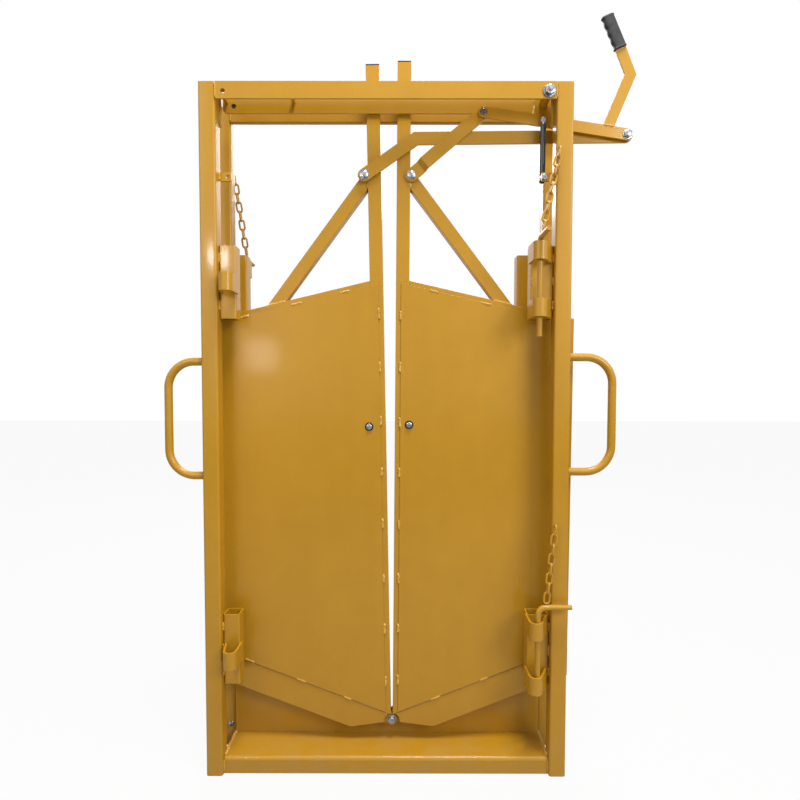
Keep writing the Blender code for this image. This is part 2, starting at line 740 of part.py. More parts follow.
def build_pins_and_chains():
    """A drop pin and its keeper chain at each socket of the front right and the rear left."""
    for key, out in (("fr", 1), ("rl", -1)):
        row = "front" if key[0] == "f" else "rear"
        post_x = out * (INNER_FACE + CHAIN_POST_INSET)
        for level, low, arm, count, raised in (
            ("upper", SOCKET_TOP, (0, -out), UPPER_CHAIN_LINKS, 0),
            ("lower", SOCKET_BOTTOM, (out, 0), LOWER_CHAIN_LINKS, LOWER_PIN_RAISED if out > 0 else 0),
        ):
            start = build_drop_pin(key, level, low, arm, raised)
            length = CHAIN_PITCH * (count - 1) + CHAIN_LINK
            ahead = -start.y if row == "front" else start.y - FRAME_DEPTH
            off = chain_standoff((ahead - CHAIN_LINK_WIDTH / 2) / length)
            post_y = -off if row == "front" else FRAME_DEPTH + off
            level_run = hypot(post_x - start.x, post_y - start.y)
            post_z = start.z + (length**2 - level_run**2) ** 0.5
            build_chain(f"chain_{row}_{level}", start, Vector((post_x, post_y, post_z)), count)


def rail_top(x):
    """Height of the top rail's upper edge."""
    return TOP_RAIL_HEIGHT - tan(TOP_RAIL_FALL) * x


def bottom_top(x):
    """Height of the bottom rail's upper edge."""
    rise = BOTTOM_RAIL_DEPTH / cos(BOTTOM_RISE)
    return LOW_CORNER[1] + tan(BOTTOM_RISE) * (x - LOW_CORNER[0]) + rise


def door_frame_of(sign, tilt):
    """The matrix from a door's own x outward, y, z to the gate's frame."""
    turn = Matrix.Rotation(sign * tilt, 4, "Y")
    return Matrix.Translation(PIVOT) @ turn @ Matrix.Diagonal((sign, 1, 1, 1))


def build_door(side, sign, tilt, top, bolt_place, ear_front):
    """One door: upright, rails, stile, brace, sheet, cap and bolt, built flat and then hung."""
    inner, outer = DOOR_EDGE, DOOR_EDGE + DOOR_TUBE
    stile = DOOR_REACH - DOOR_TUBE
    slope = tan(TOP_RAIL_FALL)
    rail_drop = DOOR_TUBE / cos(TOP_RAIL_FALL)
    gap = SEAT_GAP

    def face(name, outline, front=DOOR_FRONT, thickness=DOOR_TUBE, holes=(), finish=None):
        return plate(f"door_{side}_{name}", outline, front, thickness, finish or PAINTED, holes)

    def hollow(name, outline, core):
        """A tube whose bore is the core outline, cut right through its open ends."""
        bore = face("bore", core, DOOR_FRONT + DOOR_WALL, DOOR_TUBE - 2 * DOOR_WALL)
        return cut(face(name, outline), bore)

    lift = gap / cos(BOTTOM_RISE)
    bore_in, bore_out = inner + DOOR_WALL, outer - DOOR_WALL
    past = 0.02
    upright = hollow(
        "upright",
        [(inner, bottom_top(inner) + lift), (outer, bottom_top(outer) + lift), (outer, top), (inner, top)],
        [(bore_in, bottom_top(bore_in) - past), (bore_out, bottom_top(bore_out) - past),
         (bore_out, top + past), (bore_in, top + past)],
    )
    cap_low = top + gap
    cap = face("cap", rounded(rectangle((inner, cap_low), (outer, cap_low + CAP_HEIGHT)), CAP_CORNER),
               finish=RUBBER)
    tongue = face(
        "tongue",
        rectangle((bore_in + gap, cap_low - CAP_TONGUE), (bore_out - gap, cap_low + 0.002)),
        DOOR_FRONT + DOOR_WALL + gap,
        DOOR_TUBE - 2 * DOOR_WALL - 2 * gap,
        finish=RUBBER,
    )
    cap = union(cap, tongue)

    left, right = outer + gap, stile - gap
    wall_drop = DOOR_WALL / cos(TOP_RAIL_FALL)
    top_rail = hollow(
        "top_rail",
        [(left, rail_top(left)), (left, rail_top(left) - rail_drop),
         (right, rail_top(right) - rail_drop), (right, rail_top(right))],
        [(left - past, rail_top(left) + slope * past - wall_drop),
         (left - past, rail_top(left) + slope * past - rail_drop + wall_drop),
         (right + past, rail_top(right) - slope * past - rail_drop + wall_drop),
         (right + past, rail_top(right) - slope * past - wall_drop)],
    )
    stile_out = DOOR_REACH - DOOR_WALL
    outer_stile = hollow(
        "outer_stile",
        [(stile, bottom_top(stile) + lift), (DOOR_REACH, bottom_top(DOOR_REACH) + lift),
         (DOOR_REACH, rail_top(DOOR_REACH)), (stile, rail_top(stile))],
        [(stile + DOOR_WALL, bottom_top(stile) - past), (stile_out, bottom_top(stile_out) - past),
         (stile_out, rail_top(stile_out) - wall_drop), (stile + DOOR_WALL, rail_top(stile) - 2 * wall_drop)],
    )

    tip = NOTCH_RADIUS
    bottom = [
        (inner, TIP_HEIGHT),
        LOW_CORNER,
        (DOOR_REACH, LOW_CORNER[1] + tan(BOTTOM_RISE) * (DOOR_REACH - LOW_CORNER[0])),
        (DOOR_REACH, bottom_top(DOOR_REACH)),
        (inner, bottom_top(inner)),
    ]
    rise = tan(BOTTOM_RISE)
    wall_lift = DOOR_WALL / cos(BOTTOM_RISE)
    bore_start = LOW_CORNER[0] + DOOR_WALL
    bottom_bore = [
        (bore_start, LOW_CORNER[1] + rise * DOOR_WALL + wall_lift),
        (DOOR_REACH + past, LOW_CORNER[1] + rise * (DOOR_REACH + past - LOW_CORNER[0]) + wall_lift),
        (DOOR_REACH + past, bottom_top(DOOR_REACH + past) - wall_lift),
        (bore_start, bottom_top(bore_start) - wall_lift),
    ]
    notch = drum("notch", (0, DOOR_FRONT - 0.01, 0), (0, 1, 0), tip, DOOR_TUBE + 0.02, PAINTED)
    bore = face("bore", bottom_bore, DOOR_FRONT + DOOR_WALL, DOOR_TUBE - 2 * DOOR_WALL)
    bottom_rail = cut(face("bottom_rail", bottom), notch, bore)
    ear_hole = circle((0, 0), PIN_RADIUS + SEAT_GAP)
    ear = face("ear", capsule((0, 0), EAR_END, EAR_RADIUS), ear_front, EAR_THICKNESS, [ear_hole])
    trim = face("trim", [(0.0, -0.06), (0.09, -0.06), (0.09, -0.0105), (0.0, 0.0005 - EAR_RADIUS)],
                ear_front - 0.01, EAR_THICKNESS + 0.02)
    bottom_rail = union(bottom_rail, cut(ear, trim))

    run = Vector(BRACE_FOOT) - Vector(BRACE_TOP)
    across = Vector((-run.y, run.x)).normalized() * BRACE_WIDTH / 2
    reach_up = Vector(BRACE_TOP) - run.normalized() * 0.06
    reach_down = Vector(BRACE_FOOT) + run.normalized() * 0.06
    brace = face(
        "brace",
        [reach_up + across, reach_up - across, reach_down - across, reach_down + across],
        DOOR_FRONT + (DOOR_TUBE - BRACE_DEPTH) / 2,
        BRACE_DEPTH,
    )
    above = rail_top(0) + gap / cos(TOP_RAIL_FALL)
    post_side = face("side", rectangle((-0.1, 0.5), (outer + gap, 2.0)), 0, 0.2)
    rail_side = face(
        "under", [(-0.1, above + 0.1 * slope), (-0.1, 0.5), (0.6, 0.5), (0.6, above - 0.6 * slope)], 0, 0.2
    )
    brace = cut(brace, post_side, rail_side)

    low_x, low_z = SHEET_LOW_START
    sheet_out = DOOR_REACH - SHEET_INSET
    sheet_slope = tan(SHEET_LOW_SLOPE)
    inset = SHEET_INSET / cos(TOP_RAIL_FALL)
    sheet = face(
        "sheet",
        [(low_x, low_z + 0.012), (sheet_out, low_z + 0.012 + sheet_slope * (sheet_out - low_x)),
         (sheet_out, rail_top(sheet_out) - inset), (inner + SHEET_INSET, rail_top(inner) - inset),
         (inner + SHEET_INSET, low_z + 0.014)],
        DOOR_FRONT - SEAT_GAP - SHEET_THICKNESS,
        SHEET_THICKNESS,
        [circle(bolt_place, BOLT_HOLE_RADIUS, 16)],
    )

    head_front = DOOR_FRONT - SEAT_GAP - SHEET_THICKNESS - SEAT_GAP
    bolt = rod(
        f"door_{side}_bolt",
        (bolt_place[0], 0, bolt_place[1]),
        (0, 1, 0),
        [(0, DOOR_FRONT - SEAT_GAP), (BOLT_RADIUS, DOOR_FRONT - SEAT_GAP), (BOLT_RADIUS, head_front),
         (BOLT_HEAD_RADIUS, head_front), (BOLT_HEAD_RADIUS, head_front - 0.0025),
         (BOLT_HEAD_RADIUS * 0.6, head_front - 0.0045), (0, head_front - 0.005)],
        ZINCED,
        16,
    )

    pieces = [upright, cap, top_rail, outer_stile, bottom_rail, brace, sheet, bolt]
    holder = carrier(f"door_{side}_swing", PIVOT, Matrix.Rotation(sign * tilt, 4, "Y"))
    place = door_frame_of(sign, tilt)
    for piece in pieces:
        piece.data.transform(place)
        if sign < 0:
            piece.data.flip_normals()
        settle(piece, PIVOT, holder)
    return pieces


def heading_of(start, end):
    return atan2(end[1] - start[1], end[0] - start[0])


def bent_bar(points, width, end_radius=None):
    """The outline of a flat bar bent in its own plane along a few points, with round ends."""
    half = width / 2
    radius = end_radius or half
    path = [Vector(point) for point in points]
    left, right = [], []
    for i in range(1, len(path) - 1):
        before = (path[i] - path[i - 1]).normalized()
        after = (path[i + 1] - path[i]).normalized()
        normal = Vector((-before.y - after.y, before.x + after.x)).normalized()
        reach = half / normal.dot(Vector((-before.y, before.x)))
        left.append(path[i] + normal * reach)
        right.append(path[i] - normal * reach)
    first = heading_of(path[0], path[1])
    last = heading_of(path[-2], path[-1])
    quarter = pi / 2
    start_cap = arc(path[0], radius, first + quarter, first + 3 * quarter, 8)
    end_cap = arc(path[-1], radius, last - quarter, last + quarter, 8)
    return [*start_cap, *map(tuple, right), *end_cap, *map(tuple, left[::-1])]


def bolt_through(name, place, front, back, holder, head=BOLT_HEAD_RADIUS):
    """A bolt with a domed head in front and a plain shank behind."""
    neck = front - SEAT_GAP
    profile = [
        (0, back), (BOLT_RADIUS, back), (BOLT_RADIUS, neck), (head, neck),
        (head, neck - BOLT_HEAD_THICKNESS * 0.55),
        (head * 0.62, neck - BOLT_HEAD_THICKNESS * 0.92), (0, neck - BOLT_HEAD_THICKNESS),
    ]
    bolt = rod(name, (place[0], 0, place[1]), (0, 1, 0), profile, ZINCED, 18)
    return settle(bolt, (place[0], front, place[1]), holder)


def lever_outline():
    """The lever bar's outline: a bar with round ends, and a lug that rises to the pivot."""
    heading = heading_of(LEVER_LEFT, LEVER_RIGHT)
    half = LEVER_WIDTH / 2
    quarter = pi / 2
    left, right = LEVER_PIVOT[0] - LUG_RADIUS, LEVER_PIVOT[0] + LUG_RADIUS

    def top_edge(x):
        return LEVER_LEFT[1] + tan(heading) * (x - LEVER_LEFT[0]) + half / cos(heading)

    return (
        arc(LEVER_RIGHT, half, heading - quarter, heading + quarter, 8)
        + [(right, top_edge(right))]
        + arc(LEVER_PIVOT, LUG_RADIUS, 0, pi, 12)
        + [(left, top_edge(left))]
        + arc(LEVER_LEFT, half, heading + quarter, heading + 3 * quarter, 8)
    )


def build_lever():
    """The hand lever: bar with a lug and stud, bent arm, grip and the two link bolts.

    The left bolt is flush with the bar, so that it clears the strut as the lever turns.
    """
    pivot = Vector((LEVER_PIVOT[0], LEVER_FRONT, LEVER_PIVOT[1]))
    holder = carrier("lever_swing", pivot)
    holes = [circle(LEVER_LEFT, FLUSH_BOLT_RADIUS + RUNNING_GAP), circle(LEVER_RIGHT, BOLT_HOLE_RADIUS, 18)]
    bar = plate("lever_bar", lever_outline(), LEVER_FRONT, LEVER_THICKNESS, PAINTED, holes)
    nut_back = -SEAT_GAP - WASHER_THICKNESS
    stud_end = nut_back - NUT_THICKNESS - 0.002
    stud = rod(
        "stud",
        (LEVER_PIVOT[0], 0, LEVER_PIVOT[1]),
        (0, 1, 0),
        [(0, LEVER_FRONT + 0.002), (BOSS_RADIUS, LEVER_FRONT + 0.002), (BOSS_RADIUS, BEAM_LEG + RUNNING_GAP),
         (STUD_RADIUS, BEAM_LEG + RUNNING_GAP), (STUD_RADIUS, nut_back + FUSE),
         (THREAD_RADIUS, nut_back + FUSE), (THREAD_RADIUS, stud_end), (0, stud_end)],
        PAINTED,
    )
    settle(union(bar, stud), pivot, holder)
    washer = drum("washer", (LEVER_PIVOT[0], nut_back, LEVER_PIVOT[1]), (0, 1, 0), WASHER_RADIUS,
                  WASHER_THICKNESS, ZINCED)
    nut = plate("lever_nut", hexagon(LEVER_PIVOT, NUT_RADIUS), nut_back - NUT_THICKNESS,
                NUT_THICKNESS + FUSE, ZINCED)
    bore = drum("bore", (LEVER_PIVOT[0], -0.03, LEVER_PIVOT[1]), (0, 1, 0), STUD_RADIUS + SEAT_GAP,
                0.04, ZINCED)
    settle(cut(union(nut, washer), bore), pivot, holder)

    centre_line = Vector(LEVER_RIGHT) - Vector(LEVER_LEFT)
    normal = Vector((-centre_line.y, centre_line.x)).normalized()
    edge = Vector(LEVER_LEFT) + normal * (LEVER_WIDTH / 2 + SEAT_GAP)
    along = centre_line.normalized()
    end_x, end_z = ARM_POINTS[-1]
    root = Vector(ARM_POINTS[0])
    lean = (Vector(ARM_POINTS[1]) - root).normalized()
    route = [tuple(root - lean * 0.04), *ARM_POINTS[1:]]
    arm = plate("handle_arm", bent_bar(route, ARM_WIDTH, ARM_WIDTH / 2), LEVER_FRONT,
                ARM_THICKNESS, PAINTED)
    under = [edge - along * 0.1, edge + along * 0.5,
             edge + along * 0.5 - normal * 0.2, edge - along * 0.1 - normal * 0.2]
    trim = plate("trim", [tuple(p) for p in under], LEVER_FRONT - 0.01, ARM_THICKNESS + 0.02, PAINTED)
    settle(cut(arm, trim), pivot, holder)

    build_grip(pivot, holder, end_x, end_z)
    bolt_through("link_bolt_right", LEVER_RIGHT, LEVER_FRONT, LONG_LINK_FRONT + LINK_THICKNESS, holder)
    lever_back = LEVER_FRONT + LEVER_THICKNESS
    link_back = SHORT_LINK_FRONT + LINK_THICKNESS
    flush = rod(
        "link_bolt_left",
        (LEVER_LEFT[0], 0, LEVER_LEFT[1]),
        (0, 1, 0),
        [(0, link_back), (BOLT_RADIUS, link_back), (BOLT_RADIUS, lever_back),
         (FLUSH_BOLT_RADIUS, lever_back), (FLUSH_BOLT_RADIUS, LEVER_FRONT), (0, LEVER_FRONT)],
        ZINCED,
    )
    settle(flush, (LEVER_LEFT[0], LEVER_FRONT, LEVER_LEFT[1]), holder)
    return holder


def build_grip(pivot, holder, end_x, end_z):
    """A ribbed sleeve over the arm's end, waved along its inner side for the fingers."""
    start = Vector(ARM_POINTS[-2])
    end = Vector((end_x, end_z))
    along = (end - start).normalized()
    side = Vector((-along.y, along.x))
    low = end + along * (ARM_WIDTH / 2 + GRIP_WALL) - along * GRIP_LENGTH
    half = GRIP_WIDTH / 2
    steps = 24
    waved = []
    for i in range(steps + 1):
        share = i / steps
        wave = GRIP_WAVE_DEPTH * (1 - cos(2 * pi * GRIP_WAVES * share)) / 2
        waved.append(low + along * (GRIP_LENGTH - half) * share + side * (half - wave))
    crown = low + along * (GRIP_LENGTH - half)
    heading = atan2(along.y, along.x)
    top = arc(crown, half, heading + pi / 2, heading - pi / 2, 12)
    outline = [tuple(p) for p in waved] + top[1:] + [tuple(low - side * half)]
    middle = LEVER_FRONT + ARM_THICKNESS / 2
    grip = plate("grip", outline, middle - GRIP_THICKNESS / 2, GRIP_THICKNESS, RUBBER)
    soften = grip.modifiers.new("soften", "BEVEL")
    soften.width = 0.004
    soften.segments = 2
    soften.limit_method = "ANGLE"
    soften.angle_limit = radians(60)
    grip = bake(grip)
    slot_half = ARM_WIDTH / 2 + SEAT_GAP
    slot = bent_bar([tuple(low - along * 0.03), (end_x, end_z)], 2 * slot_half)
    bore = plate("bore", slot, LEVER_FRONT - SEAT_GAP, ARM_THICKNESS + 2 * SEAT_GAP, RUBBER)
    settle(cut(grip, bore), pivot, holder)


def build_links(lever):
    """The long link to the left door and the short, joggled link to the right door."""
    right_pivot = Vector((LEVER_RIGHT[0], LONG_LINK_FRONT, LEVER_RIGHT[1]))
    left_pivot = Vector((LEVER_LEFT[0], SHORT_LINK_FRONT, LEVER_LEFT[1]))
    long_holder = carrier("long_link_swing", right_pivot)
    short_holder = carrier("short_link_swing", left_pivot)
    for holder in (long_holder, short_holder):
        bpy.context.view_layer.update()
        holder.parent = lever
        holder.matrix_parent_inverse = lever.matrix_world.inverted()

    holes = [circle(place, BOLT_HOLE_RADIUS, 18) for place in (LEVER_RIGHT, LEFT_DOOR_BOLT)]
    outline = bent_bar([LEVER_RIGHT, LONG_LINK_BEND, LEFT_DOOR_BOLT], LINK_WIDTH)
    long_link = plate("long_link", outline, LONG_LINK_FRONT, LINK_THICKNESS, PAINTED, holes)
    settle(long_link, right_pivot, long_holder)

    holes = [circle(place, BOLT_HOLE_RADIUS, 18) for place in (LEVER_LEFT, RIGHT_DOOR_BOLT)]
    whole = plate("short_link", capsule(LEVER_LEFT, RIGHT_DOOR_BOLT, LINK_WIDTH / 2),
                  SHORT_LINK_FRONT, LINK_THICKNESS, PAINTED, holes)
    foot = Vector(RIGHT_DOOR_BOLT)
    run = (Vector(LEVER_LEFT) - foot).normalized()
    shape = bmesh.new()
    shape.from_mesh(whole.data)
    for distance in (JOGGLE_START, JOGGLE_START + JOGGLE_LENGTH):
        at = foot + run * distance
        bmesh.ops.bisect_plane(
            shape,
            geom=shape.verts[:] + shape.edges[:] + shape.faces[:],
            plane_co=(at.x, 0, at.y),
            plane_no=(run.x, 0, run.y),
        )
    for vert in shape.verts:
        distance = (Vector((vert.co.x, vert.co.z)) - foot).dot(run)
        share = (JOGGLE_START + JOGGLE_LENGTH - distance) / JOGGLE_LENGTH
        vert.co.y += JOGGLE_DEPTH * min(max(share, 0), 1)
    shape.to_mesh(whole.data)
    shape.free()
    settle(whole, left_pivot, short_holder)

    for name, place, front, holder in (
        ("door_link_bolt_left", LEFT_DOOR_BOLT, LONG_LINK_FRONT, long_holder),
        ("door_link_bolt_right", RIGHT_DOOR_BOLT, SHORT_LINK_FRONT + JOGGLE_DEPTH, short_holder),
    ):
        bolt_through(name, place, front, DOOR_FRONT - SEAT_GAP, holder, BOLT_HEAD_RADIUS * 1.15)


def build_strut():
    """The gas strut: a black cylinder bolted to the tab and a plated rod with an eye at the lever."""
    foot = Vector((STRUT_FOOT[0], STRUT_DEPTH, STRUT_FOOT[1]))
    head = Vector((STRUT_HEAD[0], STRUT_DEPTH, STRUT_HEAD[1]))
    heading = (head - foot).normalized()
    length = (head - foot).length
    holder = carrier("strut_swing", foot)
    cylinder = rod(
        "strut_cylinder",
        foot,
        heading,
        [
            (0, STRUT_START + 0.004), (STRUT_ROD_RADIUS + SEAT_GAP, STRUT_START + 0.004),
            (STRUT_ROD_RADIUS + SEAT_GAP, STRUT_START + STRUT_LENGTH),
            (STRUT_RADIUS - STRUT_SHELL, STRUT_START + STRUT_LENGTH),
            (STRUT_RADIUS, STRUT_START + STRUT_LENGTH - STRUT_SHELL),
            (STRUT_RADIUS, STRUT_START), (0, STRUT_START),
        ],
        RUBBER,
    )
    lobe = drum("lobe", foot - Vector((0, STRUT_EYE_THICKNESS / 2, 0)), (0, 1, 0), STRUT_EYE_RADIUS,
                STRUT_EYE_THICKNESS, RUBBER)
    neck = drum("neck", foot, heading, STRUT_EYE_THICKNESS / 2 - FUSE, STRUT_START + FUSE, RUBBER, 12)
    hole = drum("hole", foot - Vector((0, 0.01, 0)), (0, 1, 0), BOLT_RADIUS * 0.75 + SEAT_GAP, 0.02, RUBBER)
    settle(cut(union(cylinder, lobe, neck), hole), foot, holder)

    plug = drum("strut_rod", foot + heading * (STRUT_START + 0.006), heading, STRUT_ROD_RADIUS,
                length - STRUT_START - 0.006, ZINCED, 16)
    eye = drum("eye", head - Vector((0, STRUT_EYE_THICKNESS / 2, 0)), (0, 1, 0), STRUT_EYE_RADIUS,
               STRUT_EYE_THICKNESS, ZINCED)
    stud = drum("stud", head, (0, 1, 0), BOLT_RADIUS, LEVER_FRONT - SEAT_GAP - STRUT_DEPTH, ZINCED, 16)
    settle(union(plug, eye, stud), head, holder)

    tab_back = TAB_FRONT + TAB_THICKNESS
    bolt = rod(
        "strut_bolt",
        (STRUT_FOOT[0], 0, STRUT_FOOT[1]),
        (0, 1, 0),
        [
            (0, STRUT_DEPTH + STRUT_EYE_THICKNESS / 2), (BOLT_RADIUS * 0.75, STRUT_DEPTH + STRUT_EYE_THICKNESS / 2),
            (BOLT_RADIUS * 0.75, STRUT_DEPTH - STRUT_EYE_THICKNESS / 2 - SEAT_GAP),
            (0.007, STRUT_DEPTH - STRUT_EYE_THICKNESS / 2 - SEAT_GAP),
            (0.007, tab_back + SEAT_GAP), (BOLT_RADIUS, tab_back + SEAT_GAP),
            (BOLT_RADIUS, TAB_FRONT - SEAT_GAP), (0.0085, TAB_FRONT - SEAT_GAP),
            (0.0085, TAB_FRONT - 0.005), (0, TAB_FRONT - 0.005),
        ],
        ZINCED,
        16,
    )
    settle(bolt)


def build_gate():
    build_posts()
    build_beams()
    build_sill()
    build_kick_plate()
    build_pivot_pin()
    build_guide_bar()
    build_tabs()
    build_carry_handles()
    for key in SOCKET_WIDTHS:
        build_socket(key, "upper", SOCKET_TOP)
        build_socket(key, "lower", SOCKET_BOTTOM)
    build_pins_and_chains()
    build_door("left", -1, LEFT_TILT, LEFT_UPRIGHT_TOP, DOOR_BOLT_LEFT, LEFT_EAR_FRONT)
    build_door("right", 1, RIGHT_TILT, RIGHT_UPRIGHT_TOP, DOOR_BOLT_RIGHT, RIGHT_EAR_FRONT)
    lever = build_lever()
    build_links(lever)
    build_strut()
    for obj in GATE.objects:
        if obj.parent is None:
            obj.location.y -= ORIGIN_DEPTH


for old in list(bpy.data.objects):
    bpy.data.objects.remove(old, do_unlink=True)
GATE = bpy.data.collections.new("inline_gate")
bpy.context.scene.collection.children.link(GATE)
PAINTED = material("orange_paint", PAINT, 0.42, 0.0)
ZINCED = material("zinc_plate", ZINC, 0.35, 0.9)
RUBBER = material("black_vinyl", BLACK, 0.55, 0.0)
build_gate()
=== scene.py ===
"""Looks, light and camera for an in-line livestock gate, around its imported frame.

Metres, +Z up, X to the right, Y away from the operator who faces the gate.
The frame gives every place: pieces are set by the boxes of its nodes and by a
few real sizes, held as fields of the classes below.
"""

from __future__ import annotations

import json
import logging
from collections.abc import Callable, Iterable, Sequence
from dataclasses import dataclass, field
from enum import Enum

import bmesh
import bpy
import numpy as np
from mathutils import Matrix, Vector


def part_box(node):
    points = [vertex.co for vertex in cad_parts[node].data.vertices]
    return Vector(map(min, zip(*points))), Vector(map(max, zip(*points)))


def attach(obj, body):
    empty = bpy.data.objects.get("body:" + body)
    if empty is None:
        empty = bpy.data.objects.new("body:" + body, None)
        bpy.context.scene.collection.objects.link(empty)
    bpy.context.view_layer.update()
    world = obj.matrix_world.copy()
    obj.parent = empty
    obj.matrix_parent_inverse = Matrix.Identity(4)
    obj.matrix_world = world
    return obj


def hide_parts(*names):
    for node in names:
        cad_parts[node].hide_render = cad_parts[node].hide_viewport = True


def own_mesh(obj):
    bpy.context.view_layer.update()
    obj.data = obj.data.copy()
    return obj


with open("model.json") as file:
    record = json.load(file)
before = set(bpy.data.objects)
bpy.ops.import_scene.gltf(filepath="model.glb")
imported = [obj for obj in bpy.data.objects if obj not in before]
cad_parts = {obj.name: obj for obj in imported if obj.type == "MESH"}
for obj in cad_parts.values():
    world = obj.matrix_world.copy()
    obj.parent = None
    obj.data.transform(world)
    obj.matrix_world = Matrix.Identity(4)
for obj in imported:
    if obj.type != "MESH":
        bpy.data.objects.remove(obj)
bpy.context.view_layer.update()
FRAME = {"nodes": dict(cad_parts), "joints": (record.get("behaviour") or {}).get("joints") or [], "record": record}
LOG = logging.getLogger("gate")
Array = np.ndarray
Material = bpy.types.Material
Floats = Sequence[float]
Change = Callable[[Array], Array]
Pair = tuple[float, float]
Triple = tuple[float, float, float]
SHARP_ANGLE = np.radians(35)
ROUNDED_ANGLE = np.radians(40)
FLAT_ANGLE = np.radians(0.3)
MERGE_DISTANCE = 2e-6
FORWARD = (0, -1, 0)
ACROSS = (0, 1, 0)
UP = (0, 0, 1)
WHITE = (1, 1, 1, 1)


# Shader maths


@dataclass(frozen=True)
class Term:
    """A node's output socket that works in Python arithmetic, with a Math node per operator."""

    graph: Graph
    socket: bpy.types.NodeSocket

    def math(self, operation: str, first: Value, second: Value, clamp: bool = False) -> Term:
        """One Math node on two values."""
        return self.graph.node(
            "ShaderNodeMath", {"operation": operation, "use_clamp": clamp}, {0: first, 1: second}
        )

    def __add__(self, other: Value) -> Term:
        """The sum."""
        return self.math("ADD", self, other)

    def __sub__(self, other: Value) -> Term:
        """The difference."""
        return self.math("SUBTRACT", self, other)

    def __rsub__(self, other: Value) -> Term:
        """The difference, the other way round."""
        return self.math("SUBTRACT", other, self)

    def __mul__(self, other: Value) -> Term:
        """The product."""
        return self.math("MULTIPLY", self, other)

    def __truediv__(self, other: Value) -> Term:
        """The quotient."""
        return self.math("DIVIDE", self, other)

    __radd__ = __add__
    __rmul__ = __mul__

    def within(self, low: float, high: float) -> Term:
        """The value carried from the range low to high onto 0 to 1, and held there."""
        share = (self - low) / (high - low)
        return self.math("MULTIPLY", share, 1.0, clamp=True)


Value = float | Term
Colour = Floats | Term


class Graph:
    """One material and its nodes, around a Principled shader."""

    def __init__(self, name: str) -> None:
        """Makes the material.

        Args:
            name: The material's name.
        """
        self.material = bpy.data.materials.new(name)
        self.material.use_nodes = True
        self.tree = self.material.node_tree
        self.shader = self.tree.nodes["Principled BSDF"]

    def node(self, kind: str, settings: dict, inputs: dict, output: int | str = 0) -> Term:
        """Adds one node.

        Args:
            kind: The node's type.
            settings: Properties, which are set first.
            inputs: Values or terms, by the socket's name or number.
            output: The output socket to return.

        Returns:
            The output socket as a term.
        """
        made = self.tree.nodes.new(kind)
        for key, value in settings.items():
            setattr(made, key, value)
        for key, value in inputs.items():
            self.feed(made.inputs[key], value)
        return Term(self, made.outputs[output])

    def feed(self, socket: bpy.types.NodeSocket, value: Value | Floats) -> None:
        """Links a term to an input socket, or sets a plain value on it."""
        if isinstance(value, Term):
            self.tree.links.new(value.socket, socket)
        else:
            socket.default_value = value

    def place(self, stretch: Floats = (1, 1, 1)) -> Term:
        """Object coordinates, stretched."""
        where = self.node("ShaderNodeTexCoord", {}, {}, "Object")
        return self.node("ShaderNodeMapping", {}, {"Vector": where, "Scale": stretch})

    def noise(self, where: Term, scale: float, detail: float = 2.0, roughness: float = 0.5) -> Term:
        """A noise texture's value, from 0 to 1."""
        return self.node(
            "ShaderNodeTexNoise",
            {"noise_dimensions": "3D"},
            {"Vector": where, "Scale": scale, "Detail": detail, "Roughness": roughness},
        )

    def blend(self, share: Value, low: Colour, high: Colour) -> Term:
        """A colour between two colours."""
        return self.node(
            "ShaderNodeMix",
            {"data_type": "RGBA"},
            {"Factor": share, 6: rgba(low), 7: rgba(high)},
            2,
        )

    def bump(self, height: Term, strength: float, distance: float) -> Term:
        """A normal from a height."""
        return self.node(
            "ShaderNodeBump", {}, {"Height": height, "Strength": strength, "Distance": distance}
        )

    def finish(self, **sockets: Value | Floats) -> Material:
        """Sets the shader's sockets, named with underscores, and returns the material."""
        for name, value in sockets.items():
            title = name.replace("_", " ").title().replace("Ior", "IOR")
            self.feed(self.shader.inputs[title], value)
        return self.material


def rgba(colour: Colour) -> Colour:
    """A colour with an alpha of 1, or a term as it is."""
    return colour if isinstance(colour, Term) else (*colour, 1.0)


# Finishes


@dataclass(frozen=True)
class GatePaint:
    """Baked enamel over steel: a faint orange peel, dust and painted shade near the floor, and optional wear."""

    name: str
    light: Triple = (0.500, 0.256, 0.013)
    deep: Triple = (0.430, 0.214, 0.009)
    # Colour near the floor: dust, and painted shade.
    dust_and_shade: Triple = (0.370, 0.230, 0.070)
    steel: Triple = (0.330, 0.300, 0.220)
    wear: float = 0.0
    roughness: float = 0.34
    peel_scale: float = 340.0

    def make(self) -> Material:
        """The paint's material."""
        graph = Graph(self.name)
        where = graph.place()
        broad = graph.noise(where, 2.3, 2.0)
        cloud = graph.noise(where, 17.0, 4.0, 0.6)
        peel = graph.noise(where, self.peel_scale, 1.0)
        runs = graph.noise(graph.place((30.0, 30.0, 2.0)), 1.0, 2.0)
        tone = (broad * 0.55 + cloud * 0.30 + runs * 0.15).within(0.30, 0.70)
        colour = graph.blend(tone, self.deep, self.light)
        height = graph.node("ShaderNodeSeparateXYZ", {}, {"Vector": graph.place()}, "Z")
        # Darker, browner and rougher within 0.16 m of the floor: dust, and painted shade.
        low = (1.0 - height.within(0.0, 0.16)) * cloud.within(0.35, 0.75)
        colour = graph.blend(low * 0.55, colour, self.dust_and_shade)
        rough = self.roughness + tone * 0.07 + low * 0.22
        metal: Value = 0.0
        if self.wear:
            speck = graph.noise(graph.place((1.0, 1.0, 0.35)), 95.0, 4.0, 0.65)
            bare = speck.within(0.66 - 0.3 * self.wear, 0.70 - 0.3 * self.wear)
            colour = graph.blend(bare, colour, self.steel)
            metal = bare * 0.6
            rough = rough + bare * 0.12
        relief = peel * 0.7 + cloud * 0.3
        return graph.finish(
            base_color=colour,
            metallic=metal,
            roughness=rough,
            normal=graph.bump(relief, 0.16, 0.0005),
            coat_weight=0.26,
            coat_roughness=0.12,
            specular_ior_level=0.3,
        )


